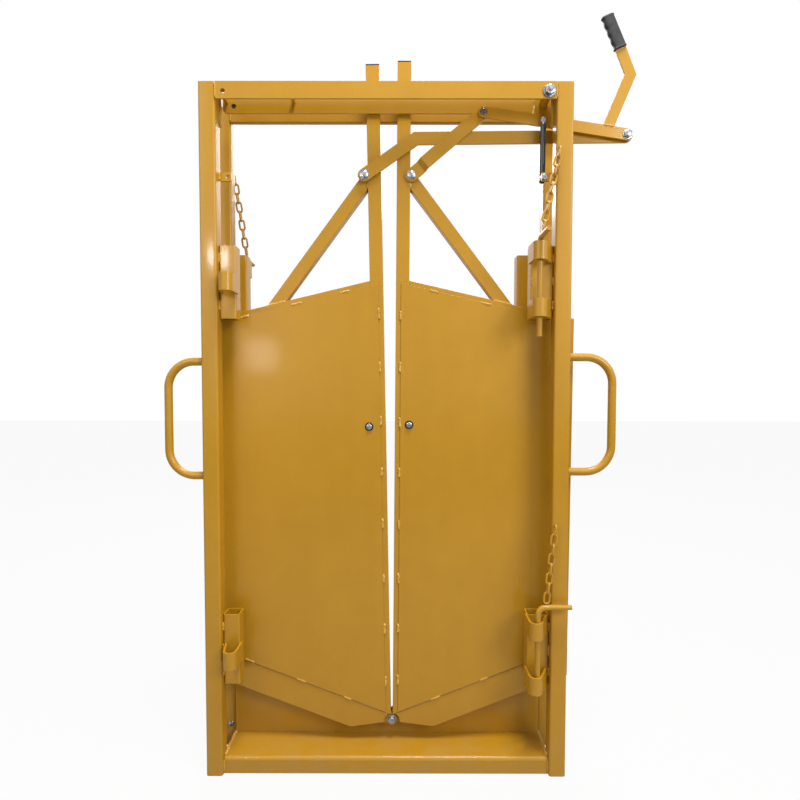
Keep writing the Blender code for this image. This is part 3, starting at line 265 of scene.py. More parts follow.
@dataclass(frozen=True)
class ZincPlate:
    """Bright zinc plate on fasteners: fine crystalline mottle over polished steel."""

    name: str
    light: Triple = (0.50, 0.51, 0.53)
    deep: Triple = (0.20, 0.21, 0.23)
    roughness: float = 0.24

    def make(self) -> Material:
        """The plate's material."""
        graph = Graph(self.name)
        where = graph.place()
        mottle = graph.noise(where, 260.0, 3.0, 0.6).within(0.3, 0.7)
        scuff = graph.noise(where, 900.0, 2.0)
        return graph.finish(
            base_color=graph.blend(mottle, self.deep, self.light),
            metallic=1.0,
            roughness=self.roughness + mottle * 0.12,
            normal=graph.bump(scuff, 0.12, 0.0002),
        )


@dataclass(frozen=True)
class Vinyl:
    """Dipped black vinyl: soft sheen with a fine pebble."""

    name: str
    light: Triple = (0.034, 0.034, 0.036)
    deep: Triple = (0.014, 0.014, 0.015)
    roughness: float = 0.46
    pebble_scale: float = 1100.0

    def make(self) -> Material:
        """The vinyl's material."""
        graph = Graph(self.name)
        where = graph.place()
        scuff = graph.noise(where, 60.0, 4.0, 0.65).within(0.35, 0.7)
        pebble = graph.noise(where, self.pebble_scale, 1.0)
        return graph.finish(
            base_color=graph.blend(scuff, self.deep, self.light),
            roughness=self.roughness + scuff * 0.14,
            normal=graph.bump(pebble, 0.30, 0.0003),
            specular_ior_level=0.3,
        )


@dataclass(frozen=True)
class StrutEnamel:
    """Gloss black enamel on the gas strut's cylinder."""

    name: str
    colour: Triple = (0.010, 0.010, 0.011)

    def make(self) -> Material:
        """The enamel's material."""
        graph = Graph(self.name)
        smear = graph.noise(graph.place(), 90.0, 3.0)
        return graph.finish(
            base_color=graph.blend(smear, self.colour, (0.022, 0.022, 0.024)),
            roughness=0.17 + smear * 0.10,
            normal=graph.bump(graph.noise(graph.place(), 600.0, 1.0), 0.06, 0.0002),
            coat_weight=0.5,
            coat_roughness=0.08,
        )


class Finish(Enum):
    """The finishes on the gate, each with the record's slot that it belongs to."""

    PAINT = "orange_paint"
    ZINC = "zinc_plate"
    VINYL = "black_vinyl"


@dataclass(frozen=True)
class Coat:
    """A material, with its finish; the finish's value is the name of a slot in the record."""

    material: Material
    finish: Finish


@dataclass
class Paintshop:
    """Makes each material once."""

    paint: Coat = field(init=False)
    worn: Coat = field(init=False)
    weld: Coat = field(init=False)
    zinc: Coat = field(init=False)
    vinyl: Coat = field(init=False)
    enamel: Coat = field(init=False)

    def __post_init__(self) -> None:
        """Makes the materials."""
        self.paint = Coat(GatePaint("gate_paint").make(), Finish.PAINT)
        worn = GatePaint("worn_gate_paint", wear=0.12, roughness=0.38)
        self.worn = Coat(worn.make(), Finish.PAINT)
        # The welds get a lighter orange than the gate paint: a painted highlight on the beads.
        weld = GatePaint(
            "painted_weld", (0.68, 0.390, 0.060), (0.54, 0.280, 0.025),
            roughness=0.25, peel_scale=520.0,
        )
        self.weld = Coat(weld.make(), Finish.PAINT)
        self.zinc = Coat(ZincPlate("bright_zinc").make(), Finish.ZINC)
        self.vinyl = Coat(Vinyl("dipped_vinyl").make(), Finish.VINYL)
        self.enamel = Coat(StrutEnamel("strut_enamel").make(), Finish.VINYL)


# Surfaces


@dataclass
class Shell:
    """Points and faces of one closed surface, before it joins a mesh."""

    points: Array
    quads: Array
    fans: Array


def ring_shell(rings: Array, closed: bool = False) -> Shell:
    """Joins rings of points into a closed surface.

    Quad (i, j) joins points j and j + 1 of ring i to those of ring i + 1, with j
    wrapped round the ring. An open row of rings is closed at both ends by a fan
    to the ring's mean point, and a closed one by joining its last ring to its first.

    Args:
        rings: Points, of shape (rings, points in a ring, 3).
        closed: Whether the last ring meets the first.

    Returns:
        The surface.
    """
    count, sides = rings.shape[:2]
    here = np.arange(count * sides).reshape(count, sides)
    ahead = np.roll(here, -1, axis=0)
    if not closed:
        here, ahead = here[:-1], ahead[:-1]
    turned = [np.roll(row, -1, axis=1) for row in (here, ahead)]
    quads = np.stack([here, turned[0], turned[1], ahead], axis=-1).reshape(-1, 4)
    points = rings.reshape(-1, 3)
    if closed:
        return Shell(points, quads, np.empty((0, 3), int))
    first = np.arange(sides)
    last = first + (count - 1) * sides
    hubs = np.full(sides, count * sides)
    fans = np.vstack([
        np.stack([hubs, np.roll(first, -1), first], axis=-1),
        np.stack([hubs + 1, last, np.roll(last, -1)], axis=-1),
    ])
    points = np.vstack([points, rings[0].mean(axis=0), rings[-1].mean(axis=0)])
    return Shell(points, quads, fans)


def unit(vectors: Array) -> Array:
    """Each vector at a length of 1."""
    return vectors / np.linalg.norm(vectors, axis=-1, keepdims=True)


def turns(sides: int) -> Array:
    """Evenly spaced angles round one turn."""
    return np.linspace(0, 2 * np.pi, sides, endpoint=False)


def sweep(
    path: Array,
    normal: Floats,
    radius: float | Array,
    sides: int,
    closed: bool = False,
) -> Shell:
    """A round bar along a path that lies in one plane.

    Point (i, a) = path(i) + radius(i) (cos a · side(i) + sin a · up(i)), where side
    is the path's heading crossed with the plane's normal, and up is side crossed with
    the heading.

    Args:
        path: The centre line, of shape (points, 3).
        normal: The normal of the path's plane.
        radius: The bar's radius, or one for each point.
        sides: Points round the bar.
        closed: Whether the path is a loop.

    Returns:
        The bar.
    """
    if closed:
        heading = unit(np.roll(path, -1, axis=0) - np.roll(path, 1, axis=0))
    else:
        heading = unit(np.gradient(path, axis=0))
    side = unit(np.cross(heading, np.asarray(normal, float)))
    up = np.cross(side, heading)
    angle = turns(sides)[None, :, None]
    reach = np.broadcast_to(radius, len(path))[:, None, None]
    spoke = np.cos(angle) * side[:, None] + np.sin(angle) * up[:, None]
    return ring_shell(path[:, None] + reach * spoke, closed)


def turned(
    profile: Sequence[tuple[float, ...]],
    place: Floats,
    sides: int,
    outline: Change = np.ones_like,
) -> Shell:
    """A turned piece whose axis points at the operator.

    Point (i, a) = place - distance(i) · y + radius(i) · outline(a) (cos a · x + sin a · z).

    Args:
        profile: Pairs of distance from the place and radius; a third value caps the radius.
        place: Where the distances are counted from.
        sides: Points round the piece.
        outline: The radius's factor as a function of the angle.

    Returns:
        The piece.
    """
    angle = turns(sides)
    distance = np.array([row[0] for row in profile])
    radius = np.array([row[1] for row in profile])[:, None] * outline(angle)
    caps = np.array([row[2] if len(row) > 2 else np.inf for row in profile])[:, None]
    radius = np.minimum(radius, caps)[:, :, None]
    spoke = np.stack([np.cos(angle), np.zeros(sides), np.sin(angle)], axis=-1)
    middles = np.asarray(place, float) + distance[:, None, None] * FORWARD
    return ring_shell(middles + radius * spoke)


def squared(share: Array, power: float = 0.62) -> Array:
    """sign(share) |share|^power, which turns a circle's sine and cosine into a squarish oval's."""
    return np.sign(share) * np.abs(share) ** power


def hexagon(angle: Array) -> Array:
    """A hexagon's radius over half its width across flats: 1 / cos(angle from a flat)."""
    return 1 / np.cos((angle + np.pi / 6) % (np.pi / 3) - np.pi / 6)


def rounded_route(corners: Sequence[Floats], radius: float, steps: int) -> Array:
    """A path through corners, each rounded by an arc of one radius.

    The arc starts and ends at radius / tan(half the corner's angle) from the corner.

    Args:
        corners: The corners, first and last kept as they are.
        radius: The arcs' radius.
        steps: Steps in an arc.

    Returns:
        Points, of shape (points, 3).
    """
    points = [np.asarray(corners[0], float)]
    for before, corner, after in zip(corners, corners[1:], corners[2:]):
        here = np.asarray(corner, float)
        back, ahead = unit(np.asarray(before) - here), unit(np.asarray(after) - here)
        half = np.arccos(np.clip(back @ ahead, -1, 1)) / 2
        reach = radius / np.tan(half)
        middle = here + unit(back + ahead) * radius / np.sin(half)
        start, end = here + back * reach - middle, here + ahead * reach - middle
        sweep_angle = np.pi - 2 * half
        share = np.linspace(0, 1, steps + 1)[:, None]
        arcs = np.sin((1 - share) * sweep_angle) * start + np.sin(share * sweep_angle) * end
        points.extend(middle + arcs / np.sin(sweep_angle))
    points.append(np.asarray(corners[-1], float))
    return np.array(points)


# Pieces


def body_of(node: str) -> str:
    """The body that holds a node."""
    bodies = FRAME["record"]["behaviour"]["bodies"]
    return next(body for body, nodes in bodies.items() if node in nodes)


def box_of(node: str) -> tuple[Array, Array]:
    """A node's lowest and highest corners at rest."""
    low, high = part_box(node)
    return np.array(low), np.array(high)


def points_of(mesh: bpy.types.Mesh) -> Array:
    """A mesh's points, of shape (points, 3)."""
    points = np.empty(len(mesh.vertices) * 3, np.float32)
    mesh.vertices.foreach_get("co", points)
    return points.reshape(-1, 3)


def linked(name: str, data: bpy.types.ID) -> bpy.types.Object:
    """A new object in the scene."""
    obj = bpy.data.objects.new(name, data)
    bpy.context.scene.collection.objects.link(obj)
    return obj


def piece(
    name: str, shells: Iterable[Shell], coat: Coat, body: str, replaces: Sequence[str] = ()
) -> bpy.types.Object:
    """Makes one object from closed surfaces, on a body.

    Args:
        name: The piece's name.
        shells: Its surfaces.
        coat: Its material and finish.
        body: The body that it rides on.
        replaces: The nodes that it stands for.

    Returns:
        The object.
    """
    points: list[Array] = []
    faces: list[list[int]] = []
    start = 0
    for shell in shells:
        points.append(shell.points)
        faces += (shell.quads + start).tolist() + (shell.fans + start).tolist()
        start += len(shell.points)
    mesh = bpy.data.meshes.new(name)
    mesh.from_pydata(np.vstack(points).tolist(), [], faces)
    shape = bmesh.new()
    shape.from_mesh(mesh)
    bmesh.ops.recalc_face_normals(shape, faces=shape.faces)
    shape.to_mesh(mesh)
    shape.free()
    return settle(name, mesh, coat, body, replaces)


def settle(
    name: str, mesh: bpy.types.Mesh, coat: Coat, body: str, replaces: Sequence[str]
) -> bpy.types.Object:
    """Shades a mesh, gives it its material and sets it on its body."""
    mesh.shade_smooth()
    mesh.set_sharp_from_angle(angle=SHARP_ANGLE)
    mesh.materials.clear()
    mesh.materials.append(coat.material)
    obj = linked(name, mesh)
    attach(obj, body)
    if replaces:
        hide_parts(*replaces)
    LOG.info("%s rides on %s: %d faces", name, body, len(mesh.polygons))
    return obj


def slimmed(factors: Floats) -> Change:
    """A change of shape: points drawn in to the middle of their box, by a factor on each axis."""

    def change(points: Array) -> Array:
        """The points, drawn in."""
        middle = (points.min(axis=0) + points.max(axis=0)) / 2
        return middle + (points - middle) * np.asarray(factors)

    return change


def faired(
    node: str, coat: Coat, edge: float, change: Change | None = None
) -> None:
    """A node's own shape with its triangles merged and its sharp edges rounded.

    Args:
        node: The node, which the piece stands for.
        coat: The piece's material and finish.
        edge: The width of the rounding.
        change: Moves the node's points, given and returned with shape (points, 3).
    """
    mesh = FRAME["nodes"][node].data.copy()
    if change:
        mesh.vertices.foreach_set("co", change(points_of(mesh)).ravel())
    shape = bmesh.new()
    shape.from_mesh(mesh)
    bmesh.ops.remove_doubles(shape, verts=shape.verts, dist=MERGE_DISTANCE)
    bmesh.ops.dissolve_limit(shape, angle_limit=FLAT_ANGLE, verts=shape.verts, edges=shape.edges)
    shape.to_mesh(mesh)
    shape.free()
    obj = settle(f"{node}_faired", mesh, coat, body_of(node), [node])
    soften = obj.modifiers.new("rounded_edges", "BEVEL")
    soften.width = edge
    soften.segments = 2
    soften.limit_method = "ANGLE"
    soften.angle_limit = ROUNDED_ANGLE
    even = obj.modifiers.new("even_shading", "WEIGHTED_NORMAL")
    even.keep_sharp = True


@dataclass
class Welder:
    """Lays weld beads: ripples of metal along a seam, a little uneven from one to the next."""

    ripple: float = 0.0021
    seed: int = 11
    generator: np.random.Generator = field(init=False)

    def __post_init__(self) -> None:
        """Seeds the unevenness."""
        self.generator = np.random.default_rng(self.seed)

    def bead(
        self, start: Floats, end: Floats, normal: Floats, size: float
    ) -> Shell:
        """One bead.

        Its radius is size · (0.82 + 0.18 |sin(pi · distance / ripple)|), which falls to
        nothing over its last ripple, and its line wanders by an eighth of its size.

        Args:
            start: Where the seam starts.
            end: Where it ends.
            normal: A direction across the seam.
            size: The bead's radius.

        Returns:
            The bead.
        """
        start, end = np.asarray(start, float), np.asarray(end, float)
        length = float(np.linalg.norm(end - start))
        count = max(int(length / self.ripple * 3), 8)
        share = np.linspace(0, 1, count)
        distance = share * length
        fade = np.sqrt(np.clip(np.minimum(distance, length - distance) / self.ripple, 0.03, 1))
        lump = 0.82 + 0.18 * np.abs(np.sin(np.pi * distance / self.ripple))
        phase = self.generator.uniform(0, 2 * np.pi)
        swell = 1 + 0.10 * np.sin(phase + 9 * share)
        side = unit(np.cross(end - start, np.asarray(normal, float)))
        wander = 0.12 * size * np.sin(phase + 14 * share)
        path = start + share[:, None] * (end - start) + wander[:, None] * side
        return sweep(path, normal, size * lump * fade * swell, 8)

    def stitches(
        self,
        start: Floats,
        end: Floats,
        normal: Floats,
        length: float,
        spacing: float,
        size: float,
    ) -> list[Shell]:
        """Beads of one length along a seam, spaced evenly and centred on it."""
        start, end = np.asarray(start, float), np.asarray(end, float)
        run = float(np.linalg.norm(end - start))
        count = max(int(run / spacing), 1)
        along = (end - start) / run
        middles = (np.arange(count) + 0.5) * run / count
        middles = middles + self.generator.uniform(-0.06, 0.06, count) * spacing
        lengths = length * self.generator.uniform(0.85, 1.15, count)
        ends = zip(middles - lengths / 2, middles + lengths / 2)
        return [self.bead(start + along * a, start + along * b, normal, size) for a, b in ends]


@dataclass(frozen=True)
class Fasteners:
    """Zinc-plated bolts, nuts and washers, each facing the operator, its back at its place."""

    chamfer: float = 0.93
    thread: float = 0.0015

    def washer(self, place: Floats, radius: float, thickness: float) -> Shell:
        """A washer with a rounded rim."""
        rim = 0.25 * thickness
        inner = radius - rim
        profile = [(0, inner), (rim, radius), (thickness - rim, radius), (thickness, inner)]
        return turned(profile, place, 40)

    def hex_head(
        self, place: Floats, flats: float, height: float, dome: float
    ) -> Shell:
        """A hexagon head with chamfered corners and a slight dome."""
        half = flats / 2
        profile = [
            (0, half, half * 1.13),
            (0.15 * height, half),
            (0.72 * height, half),
            (0.90 * height, half, half * 1.04),
            (height, half, half * self.chamfer),
            (height + 0.55 * dome, half * 0.62, half * 0.62),
            (height + dome, half * 0.12, half * 0.12),
        ]
        return turned(profile, place, 60, hexagon)

    def shank(self, place: Floats, radius: float, length: float, sides: int) -> Shell:
        """A plain round bar."""
        return turned([(0, radius), (length, radius)], place, sides)

    def stud_end(self, place: Floats, radius: float, length: float) -> Shell:
        """A threaded end, with a rounded ridge at every turn of the thread."""
        steps = np.arange(0, length, self.thread / 3)
        profile = [(d, radius * (0.93 + 0.07 * np.cos(2 * np.pi * d / self.thread))) for d in steps]
        return turned([*profile, (length, radius * 0.75)], place, 24)


KIT = Fasteners()


@dataclass
class Frame:
    """The welded frame: posts, beams, sill, kick plate, guide bar, tabs, sockets and handles."""

    shop: Paintshop
    welder: Welder
    tube_edge: float = 0.0010
    plate_edge: float = 0.0007
    tube: float = 0.0381
    bead: float = 0.0026
    light_bead: float = 0.0026 * 0.7
    heavy_bead: float = 0.0040
    corner_run: float = 0.085
    stitch: float = 0.022
    stitch_spacing: float = 0.044
    handle_bar: float = 0.0185
    handle_bend: float = 0.060
    handle_bead: float = 0.0021
    post_bolt: Pair = (-0.3950, 0.0560)
    guide_plate: float = 0.0047
    guide_web: float = 0.1673
    web_share: float = 0.25
    web_reach: float = 0.02
    pin_share: Triple = (0.80, 1.0, 0.80)
    guide_hole: Pair = (-0.3590, 1.5660)
    # Radius of the dark disc behind the guide's hole, which is painted shade.
    hole_shade_radius: float = 0.0058

    def build(self) -> None:
        """Builds the frame."""
        for node in FRAME["record"]["behaviour"]["bodies"]["frame"]:
            if node.startswith(("post", "beam")):
                faired(node, self.shop.paint, self.tube_edge)
            elif node.startswith(("guide", "sill", "kick", "strut_tab", "socket")):
                change = self.webbed if node == "guide_bar" else None
                faired(node, self.shop.paint, self.plate_edge, change)
        self.handles()
        self.welds()
        self.bolts()

    def webbed(self, points: Array) -> Array:
        """Draws the guide bar's second block in to a thin web, behind the front beam."""
        across = points[:, 0] - (points[:, 0].min() + self.guide_web)
        front = points[:, 1].max() - self.guide_plate
        held = (np.abs(across) < self.web_reach) & (points[:, 1] < front + 1e-4)
        drawn = np.where(held, (1 - self.web_share) * across, 0.0)[:, None]
        return points - drawn * [1.0, 0.0, 0.0]

    def handles(self) -> None:
        """The bent bars on the outer sides, with the weld ring at each end."""
        half = self.handle_bar / 2
        angle = turns(48)[:, None]
        lump = self.handle_bead * (0.85 + 0.15 * np.abs(np.sin(8 * angle[:, 0])))
        circle = (half + 0.0008) * (np.cos(angle) * [0, 1, 0] + np.sin(angle) * [0, 0, 1])
        for side, sign in (("left", -1), ("right", 1)):
            node = f"carry_handle_{side}"
            low, high = box_of(node)
            y = (low[1] + high[1]) / 2
            root = high[0] if sign < 0 else low[0]
            reach = low[0] + half if sign < 0 else high[0] - half
            foot, head = low[2] + half, high[2] - half
            corners = [(root, y, foot), (reach, y, foot), (reach, y, head), (root, y, head)]
            route = rounded_route(corners, self.handle_bend, 14)
            bar = sweep(route, ACROSS, half, 20)
            piece(f"{node}_bar", [bar], self.shop.paint, "frame", [node])
            rings = [
                sweep(np.array([root, y, height]) + circle, (1, 0, 0), lump, 8, closed=True)
                for height in (foot, head)
            ]
            piece(f"{node}_welds", rings, self.shop.weld, "frame")

    def upright_bead(self, x: float, y: float, low: float, high: float, size: float) -> Shell:
        """A bead up an edge, between two heights."""
        return self.welder.bead((x, y, low), (x, y, high), ACROSS, size)

    def level_bead(self, x: float, z: float, near: float, far: float, size: float) -> Shell:
        """A bead along the depth, at one height."""
        return self.welder.bead((x, near, z), (x, far, z), UP, size)

    def welds(self) -> None:
        """Beads where the beams, sill, tabs and sockets meet the posts."""
        beads: list[Shell] = []
        for row in ("front", "rear"):
            (left, near, foot), (right, far, top) = box_of(f"beam_{row}")
            for x in (left, right):
                beads += [
                    self.upright_bead(x, near, foot + 0.003, top - 0.003, self.light_bead),
                    self.level_bead(x, top, near + 0.004, far - 0.004, self.light_bead),
                ]
        (left, near, _), (right, far, top) = box_of("sill")
        for x in (left, right):
            beads += [
                self.level_bead(x, top, near + 0.008, far - 0.030, self.heavy_bead),
                self.upright_bead(x, near, 0.004, top - 0.008, self.bead),
            ]
        for side in ("left", "right"):
            (left, _, _), (right, far, top) = box_of(f"post_front_{side}")
            x = right if side == "left" else left
            beads.append(
                self.upright_bead(x, far, top - self.corner_run, top - 0.004, self.heavy_bead)
            )
        for side in ("left", "right"):
            (left, near, foot), (right, _, top) = box_of(f"strut_tab_{side}")
            x = left if side == "left" else right
            beads.append(self.upright_bead(x, near, foot + 0.002, top - 0.002, self.bead))
        for row in ("front", "rear"):
            for side in ("left", "right"):
                for level in ("lower", "upper"):
                    beads += self.socket_welds(row, side, level)
        piece("frame_welds", beads, self.shop.weld, "frame")

    def socket_welds(self, row: str, side: str, level: str) -> list[Shell]:
        """Stitches down a socket's outer edge where it meets the post."""
        low, high = box_of(f"socket_{row}_{side}_{level}")
        post_low, post_high = box_of(f"post_{row}_{side}")
        x = post_high[0] if side == "left" else post_low[0]
        y = high[1] - self.tube if row == "front" else low[1] + self.tube
        start, end = (x, y, low[2] + 0.004), (x, y, high[2] - 0.004)
        return self.welder.stitches(start, end, ACROSS, self.stitch, self.stitch_spacing, self.bead)

    def bolts(self) -> None:
        """The pivot pin, the strut's lower bolt, the left rear post's bolt, and a dark disc behind the guide's
        hole as painted shade.
        """
        faired("pivot_pin", self.shop.zinc, 0.0004, slimmed(self.pin_share))
        faired("strut_bolt", self.shop.zinc, 0.0005, slimmed(self.pin_share))
        # A dark vinyl disc behind the guide bar's hole: painted shade, standing for the dark inside of the hole.
        x, z = self.guide_hole
        back = box_of("guide_bar")[1][1]
        hole_shade_disc = KIT.shank((x, back, z), self.hole_shade_radius, 0.6 * self.guide_plate, 28)
        piece("guide_hole_plug", [hole_shade_disc], self.shop.vinyl, "frame")
        face = box_of("post_rear_left")[0][1]
        x, z = self.post_bolt
        shells = [
            KIT.washer((x, face + 0.0002, z), 0.0070, 0.0014),
            KIT.hex_head((x, face - 0.0010, z), 0.0100, 0.0042, 0.0006),
        ]
        piece("rear_post_bolt", shells, self.shop.zinc, "frame")


@dataclass
class Door:
    """One door: tube frame, sheet with its stitch welds, brace, cap and bolt."""

    side: str
    tilt: float
    shop: Paintshop
    welder: Welder
    inner_edge: float = 0.0147
    outer_edge: float = 0.4153
    top_at_pivot: float = 1.0690
    top_fall: float = 12.5
    foot_at_pivot: float = 0.0176
    foot_rise: float = 21.9
    upright: float = 0.0340
    brace_joint: Pair = (1.2930, 1.3390)
    brace_foot: tuple[Pair, ...] = ((0.2355, 1.0302), (0.2795, 1.0204))
    brace_bead: float = 0.0028
    tube_edge: float = 0.0010
    stitch: float = 0.024
    stitch_spacing: float = 0.119
    bead: float = 0.0033
    bead_off: float = 0.0012
    seal: float = 0.0020
    top_from: float = 1.60
    top_drop: float = 0.0185

    @property
    def body(self) -> str:
        """The door's body."""
        return f"door_{self.side}"

    @property
    def sign(self) -> int:
        """Which way is outward along x."""
        return -1 if self.side == "left" else 1

    def point(self, outward: float, depth: float, height: float) -> Array:
        """A place outward and up from the pivot in the door's own frame, carried to the gate's."""
        joint = f"{self.body}_swing"
        pivot = next(j for j in FRAME["joints"] if j["name"] == joint)["pos_m"]
        lean = self.sign * np.radians(self.tilt)
        x = self.sign * outward * np.cos(lean) + height * np.sin(lean)
        z = -self.sign * outward * np.sin(lean) + height * np.cos(lean)
        return np.array([pivot[0] + x, depth, pivot[2] + z])

    def ends(self, seam: Iterable[Pair], depth: float) -> list[Array]:
        """A seam's ends, each given outward and up, at one depth."""
        return [self.point(outward, depth, height) for outward, height in seam]

    def build(self) -> None:
        """Builds the door."""
        for name in ("top_rail", "outer_stile", "bottom_rail", "brace"):
            faired(f"{self.body}_{name}", self.shop.paint, self.tube_edge)
        faired(f"{self.body}_upright", self.shop.paint, self.tube_edge, self.lowered)
        faired(f"{self.body}_sheet", self.shop.paint, 0.0004)
        faired(f"{self.body}_cap", self.shop.vinyl, 0.0005, self.lowered)
        self.welds()
        self.bolt()

    def lowered(self, points: Array) -> Array:
        """Brings the upright's open end down along it, to its height in the photograph."""
        lean = self.sign * np.radians(self.tilt)
        down = self.top_drop * np.array([np.sin(lean), 0.0, np.cos(lean)])
        return points - (points[:, 2:] > self.top_from) * down

    def welds(self) -> None:
        """Stitches round the sheet, a closed seam under it, and beads at the brace's ends."""
        tube_face = box_of(f"{self.body}_outer_stile")[0][1]
        depth = tube_face - 0.0006
        fall, rise = np.tan(np.radians(self.top_fall)), np.tan(np.radians(self.foot_rise))
        inner, outer, off = self.inner_edge, self.outer_edge, self.bead_off
        top_in, top_out = (self.top_at_pivot - fall * x + off for x in (inner, outer))
        foot_in, foot_out = (self.foot_at_pivot + rise * x - off for x in (inner, outer))
        seams = [
            ((inner - off, foot_in + 0.02), (inner - off, top_in - 0.01)),
            ((outer + off, foot_out + 0.01), (outer + off, top_out - 0.01)),
            ((inner + 0.01, top_in - 0.002), (outer - 0.01, top_out)),
            ((inner + 0.03, foot_in + 0.03 * rise), (outer - 0.01, foot_out)),
        ]
        beads: list[Shell] = []
        for seam in seams:
            start, end = self.ends(seam, depth)
            beads += self.welder.stitches(
                start, end, ACROSS, self.stitch, self.stitch_spacing, self.bead
            )
        foot = [(x, self.foot_at_pivot + rise * x) for x in (inner + 0.004, outer - 0.004)]
        beads.append(self.welder.bead(*self.ends(foot, tube_face + self.seal), ACROSS, self.seal))
        brace_face = box_of(f"{self.body}_brace")[0][1]
        joint = [(self.upright, height) for height in self.brace_joint]
        for seam in (joint, self.brace_foot):
            beads.append(self.welder.bead(*self.ends(seam, brace_face), ACROSS, self.brace_bead))
        piece(f"{self.body}_welds", beads, self.shop.weld, self.body)

    def bolt(self) -> None:
        """The bolt through the sheet, on a rubber washer."""
        node = f"{self.body}_bolt"
        low, high = box_of(node)
        x, _, z = (low + high) / 2
        face = box_of(f"{self.body}_sheet")[0][1]
        seal = KIT.washer((x, face - 0.0002, z), 0.0102, 0.0014)
        piece(f"{node}_seal", [seal], self.shop.vinyl, self.body)
        shells = [
            KIT.hex_head((x, face - 0.0015, z), 0.0128, 0.0034, 0.0008),
            KIT.shank((x, high[1], z), 0.0046, 0.003, 20),
        ]
        piece(f"{node}_plated", shells, self.shop.zinc, self.body, [node])


@dataclass
class Lever:
    """The hand lever with its arm, the two links, their bolts and the gas strut."""

    shop: Paintshop
    welder: Welder
    plate_edge: float = 0.0006
    head: float = 0.0050
    arm_foot: float = 0.0075
    arm_bead: float = 0.0020
    rod_share: Triple = (0.75, 0.9, 1.0)
    bolt_sizes: tuple[tuple[str, float], ...] = (
        ("link_bolt_right", 0.0205),
        ("door_link_bolt_left", 0.0215),
        ("door_link_bolt_right", 0.0200),
    )

    def build(self) -> None:
        """Builds the lever and what it moves."""
        for node in ("lever_bar", "handle_arm", "long_link", "short_link"):
            faired(node, self.shop.paint, self.plate_edge)
        self.arm_weld()
        self.bolts()
        self.pivot_nut()
        faired("strut_cylinder", self.shop.enamel, self.plate_edge)
        faired("strut_rod", self.shop.zinc, 0.0004, slimmed(self.rod_share))

    def arm_weld(self) -> None:
        """The beads where the arm stands on the lever bar, at its front and its back."""
        low, high = box_of("handle_arm")
        points = points_of(FRAME["nodes"]["handle_arm"].data)
        foot = points[points[:, 2] < low[2] + self.arm_foot]
        start, end = foot[foot[:, 0].argmin()], foot[foot[:, 0].argmax()]
        beads = [
            self.welder.bead((start[0], y, start[2]), (end[0], y, end[2]), ACROSS, self.arm_bead)
            for y in (low[1] + 0.0004, high[1] - 0.0004)
        ]
        piece("lever_arm_weld", beads, self.shop.weld, "lever")

    def bolts(self) -> None:
        """The link bolts: bright domed hexagons, and one flush in the lever."""
        for node, size in self.bolt_sizes:
            low, high = box_of(node)
            x, _, z = (low + high) / 2
            plate = low[1] + self.head
            shells = [
                KIT.washer((x, plate, z), size * 0.56, 0.0012),
                KIT.hex_head((x, plate - 0.0012, z), size * 0.86, 0.0034, 0.0018),
                KIT.shank((x, high[1], z), 0.0048, high[1] - plate, 24),
            ]
            piece(f"{node}_plated", shells, self.shop.zinc, body_of(node), [node])
        faired("link_bolt_left", self.shop.zinc, 0.0005)

    def pivot_nut(self) -> None:
        """The lever's washer and nut in front of the beam, with the stud's end."""
        low, high = box_of("lever_nut")
        x, _, z = (low + high) / 2
        beam = high[1]
        shells = [
            KIT.washer((x, beam, z), 0.0145, 0.0022),
            KIT.hex_head((x, beam - 0.0022, z), 0.0205, 0.0072, 0.0004),
            KIT.stud_end((x, beam - 0.0092, z), 0.0048, 0.0040),
        ]
        piece("lever_nut_plated", shells, self.shop.zinc, "lever", ["lever_nut"])


@dataclass
class Grip:
    """The vinyl sleeve on the lever's arm, waved along its inner side for the fingers."""

    shop: Paintshop
    foot: Pair = (0.5400, 1.6905)
    crown: Pair = (0.5076, 1.7645)
    half_width: float = 0.0146
    half_depth: float = 0.0073
    waves: float = 4.0
    wave_depth: float = 0.0015
    rim: float = 0.0012

    def build(self) -> None:
        """Builds the sleeve.

        Along the sleeve s runs from 0 to 1, and round it a from 0 to a full turn. A point
        is the axis at s, less width(s) · c(cos a) across, plus depth(s) · c(sin a) in depth,
        where c is squared(). On the finger side the width loses
        wave_depth (1 - cos 2 pi waves s) / 2. Both fall to a round end.
        """
        low, high = box_of("grip")
        depth = (low[1] + high[1]) / 2
        foot = np.array([self.foot[0], depth, self.foot[1]])
        crown = np.array([self.crown[0], depth, self.crown[1]])
        length = float(np.linalg.norm(crown - foot))
        along = (crown - foot) / length
        across = np.cross(along, [0.0, 1.0, 0.0])
        middle = np.linspace(0.04, 0.94, 72)
        share = np.concatenate([[0, 0.006, 0.02], middle, [0.965, 0.985, 0.996, 1.0]])
        round_end = np.concatenate([[0.90, 0.98, 1.0], np.ones(72), [0.985, 0.93, 0.82, 0.62]])
        lips = ((0.025, 0.02), (0.955, 0.022))
        swell = self.rim * sum(np.exp(-(((share - at) / wide) ** 2)) for at, wide in lips)
        angle = turns(56)
        width = (self.half_width * round_end + swell)[:, None]
        thick = (self.half_depth * round_end + swell * 0.5)[:, None]
        fingers = self.wave_depth * (1 - np.cos(2 * np.pi * self.waves * share)) / 2
        inner = np.clip(-np.cos(angle), 0, 1) ** 0.5
        reach = width * squared(np.cos(angle)) + fingers[:, None] * inner
        rings = (
            foot
            + (share * length)[:, None, None] * along
            - reach[:, :, None] * across
            + (thick * squared(np.sin(angle)))[:, :, None] * np.array([0.0, 1.0, 0.0])
        )
        piece("grip_sleeve", [ring_shell(rings)], self.shop.vinyl, "lever", ["grip"])


